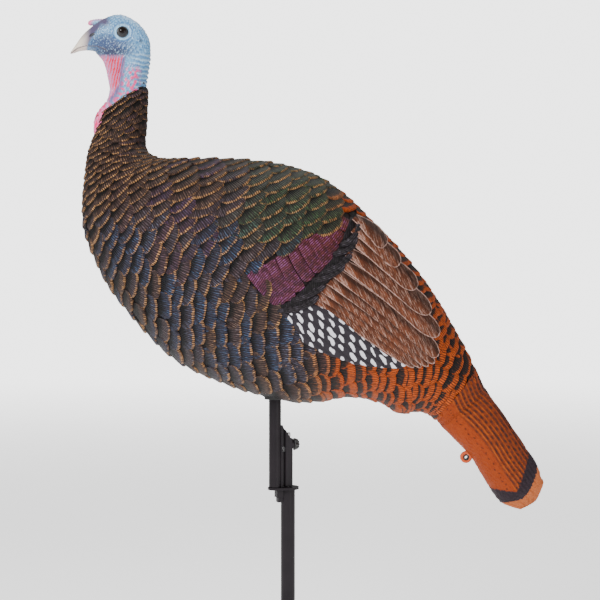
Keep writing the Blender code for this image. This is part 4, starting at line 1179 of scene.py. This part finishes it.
def platedSteel():
    # zinc plate: fine turned lines round the upright pieces, and cloudy tone
    w = Wiring("zinc plated steel")
    upright = w.times(w.axes(w.place())[2], hardware["steelGrain"] * 4)
    turned, cloud = w.noise(1.0, 2, w.join(0.0, 0.0, upright)), w.noise(90, 3)
    colour = w.mix(cloud, (0.30, 0.30, 0.31), (0.46, 0.46, 0.45))
    rough = w.line(turned, 0.2, 0.24)
    return w.finish(Base_Color=colour, Metallic=1.0, Roughness=rough, relief=(turned, 0.03, 0.5))


def mouldedBlack(name, tone, roughness, relief):
    # moulded nylon or rubber: a matt grain with slow changes in tone
    w = Wiring(name)
    grain, cloud = w.noise(hardware["nylonGrain"], 3), w.noise(70, 3)
    colour = w.mix(cloud, (tone, tone, tone), (tone * 1.9, tone * 1.8, tone * 1.8))
    rough = w.line(grain, 0.2, roughness - 0.1)
    return w.finish(Base_Color=colour, Roughness=rough, relief=(grain, relief, 0.6))


def makeTube(name, node, body, wall, paint):
    # a smooth round tube over the CAD tube: a closed profile with small bevels, turned about its own axis
    low, high = (np.array(corner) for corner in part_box(node))
    middle, radius = (low[:2] + high[:2]) / 2, (high[0] - low[0]) / 2
    bevel, inner = hardware["bevel"] * mm, radius - wall * mm
    profile = np.array([
        (inner, low[2]), (radius - bevel, low[2]), (radius, low[2] + bevel), (radius, high[2] - bevel),
        (radius - bevel, high[2]), (inner, high[2]), (inner, high[2] - bevel), (inner, low[2] + bevel),
    ])
    theta = turnAround(96)
    reach, z = profile[:, 0, None], profile[:, 1, None] + 0 * theta
    points = np.stack([middle[0] + reach * np.cos(theta), middle[1] + reach * np.sin(theta), z], -1)
    faces = gridFaces(*z.shape, closed=True, ringed=True)[:, [0, 3, 2, 1]]
    piece = addPiece(name, points.reshape(-1, 3), faces, body, paint, [node])
    piece.data.set_sharp_from_angle(angle=np.radians(35))
    print(name, "over", node)


finishes = {
    "powder_coat": powderCoat(), "plated_steel": platedSteel(),
    "black_nylon": mouldedBlack("black nylon", 0.008, 0.5, 0.05),
    "black_rubber": mouldedBlack("black rubber", 0.012, 0.75, 0.08),
    "painted_tail": lugPaint, "painted_head": headPaint, "feathered_rubber": featherPaint,
    "eye_glass": mouldedBlack("eye black", 0.004, 0.2, 0.01),
}
slotOf = {part["node"]: part["material_slot"] for part in frame["record"]["subparts"]}
for name, node in frame["nodes"].items():
    node.data.materials.clear()
    node.data.materials.append(finishes[slotOf[name]])
print(len(finishes), "finishes on", len(frame["nodes"]), "nodes")
makeTube("upper_rod_tube", "upper_rod", "upper_stake", hardware["rodWall"], finishes["powder_coat"])
makeTube("lower_stake_tube", "lower_tube", "ground_stake", hardware["tubeWall"], finishes["powder_coat"])

# metres, watts, and strengths for the floor's glow, the world's light and the backdrop as it shows
stage = {
    "floorDrop": 0.24, "floorSize": 9.0, "world": 0.42, "backdrop": 3.4, "glow": 1.1,
    "lamps": {
        "key": ((-1.1, -1.6, 1.5), (0, 0, 0.35), 62, 0.8), "fill": ((1.5, -1.4, 0.6), (0, 0, 0.35), 18, 1.2),
        "top": ((0.2, 0.6, 1.9), (0, 0, 0.4), 12, 1.0),
    },
}


def makeFloor():
    # a pale square that fades out with distance from its middle
    size = stage["floorSize"]
    mesh = bpy.data.meshes.new("floor")
    corners = [(-size, -size, 0), (size, -size, 0), (size, size, 0), (-size, size, 0)]
    mesh.from_pydata(corners, [], [(0, 1, 2, 3)])
    floor = bpy.data.objects.new("floor", mesh)
    floor.location.z = -stage["floorDrop"]
    bpy.context.scene.collection.objects.link(floor)
    w = Wiring("pale floor")
    cloud, spot = w.noise(3, 2), w.axes(w.place())
    far = w.calc("POWER", w.plus(w.calc("POWER", spot[0], 2.0), w.calc("POWER", spot[1], 2.0)), 0.5)
    mesh.materials.append(w.finish(
        Base_Color=w.mix(cloud, (0.86, 0.86, 0.86), (0.9, 0.9, 0.9)), Roughness=0.9, Specular_IOR_Level=0.1,
        Emission_Color=(1, 1, 1), Emission_Strength=stage["glow"], Alpha=w.ramp(far, size * 0.9, 1.2),
    ))


def makeWorld():
    # white all round; the backdrop shows brighter than the light that it gives
    world = bpy.data.worlds.new("studio")
    bpy.context.scene.world = world
    world.use_nodes = True
    tree = world.node_tree
    background = tree.nodes["Background"]
    background.inputs[0].default_value = (1, 1, 1, 1)
    path, level = tree.nodes.new("ShaderNodeLightPath"), tree.nodes.new("ShaderNodeMapRange")
    level.inputs["To Min"].default_value = stage["world"]
    level.inputs["To Max"].default_value = stage["backdrop"]
    tree.links.new(path.outputs["Is Camera Ray"], level.inputs["Value"])
    tree.links.new(level.outputs[0], background.inputs[1])


def addLamp(name, place, aim, power, size):
    data = bpy.data.lights.new(name, "AREA")
    data.energy, data.size = power, size
    lamp = bpy.data.objects.new(name, data)
    bpy.context.scene.collection.objects.link(lamp)
    lamp.location = place
    lamp.rotation_euler = (Vector(aim) - Vector(place)).to_track_quat("-Z", "Y").to_euler()


def addCamera():
    x, h = view["centre"] * mm
    data = bpy.data.cameras.new("camera")
    data.lens = 36 * view["distance"] / view["width"]
    camera = bpy.data.objects.new("camera", data)
    bpy.context.scene.collection.objects.link(camera)
    camera.location = (rodX + x, rodY - view["distance"] * mm, bellyZ + h)
    camera.rotation_euler = (np.pi / 2, 0, 0)
    bpy.context.scene.camera = camera


makeFloor()
makeWorld()
for name, lamp in stage["lamps"].items():
    addLamp(name, *lamp)
addCamera()
print("stage with", len(stage["lamps"]), "lamps")
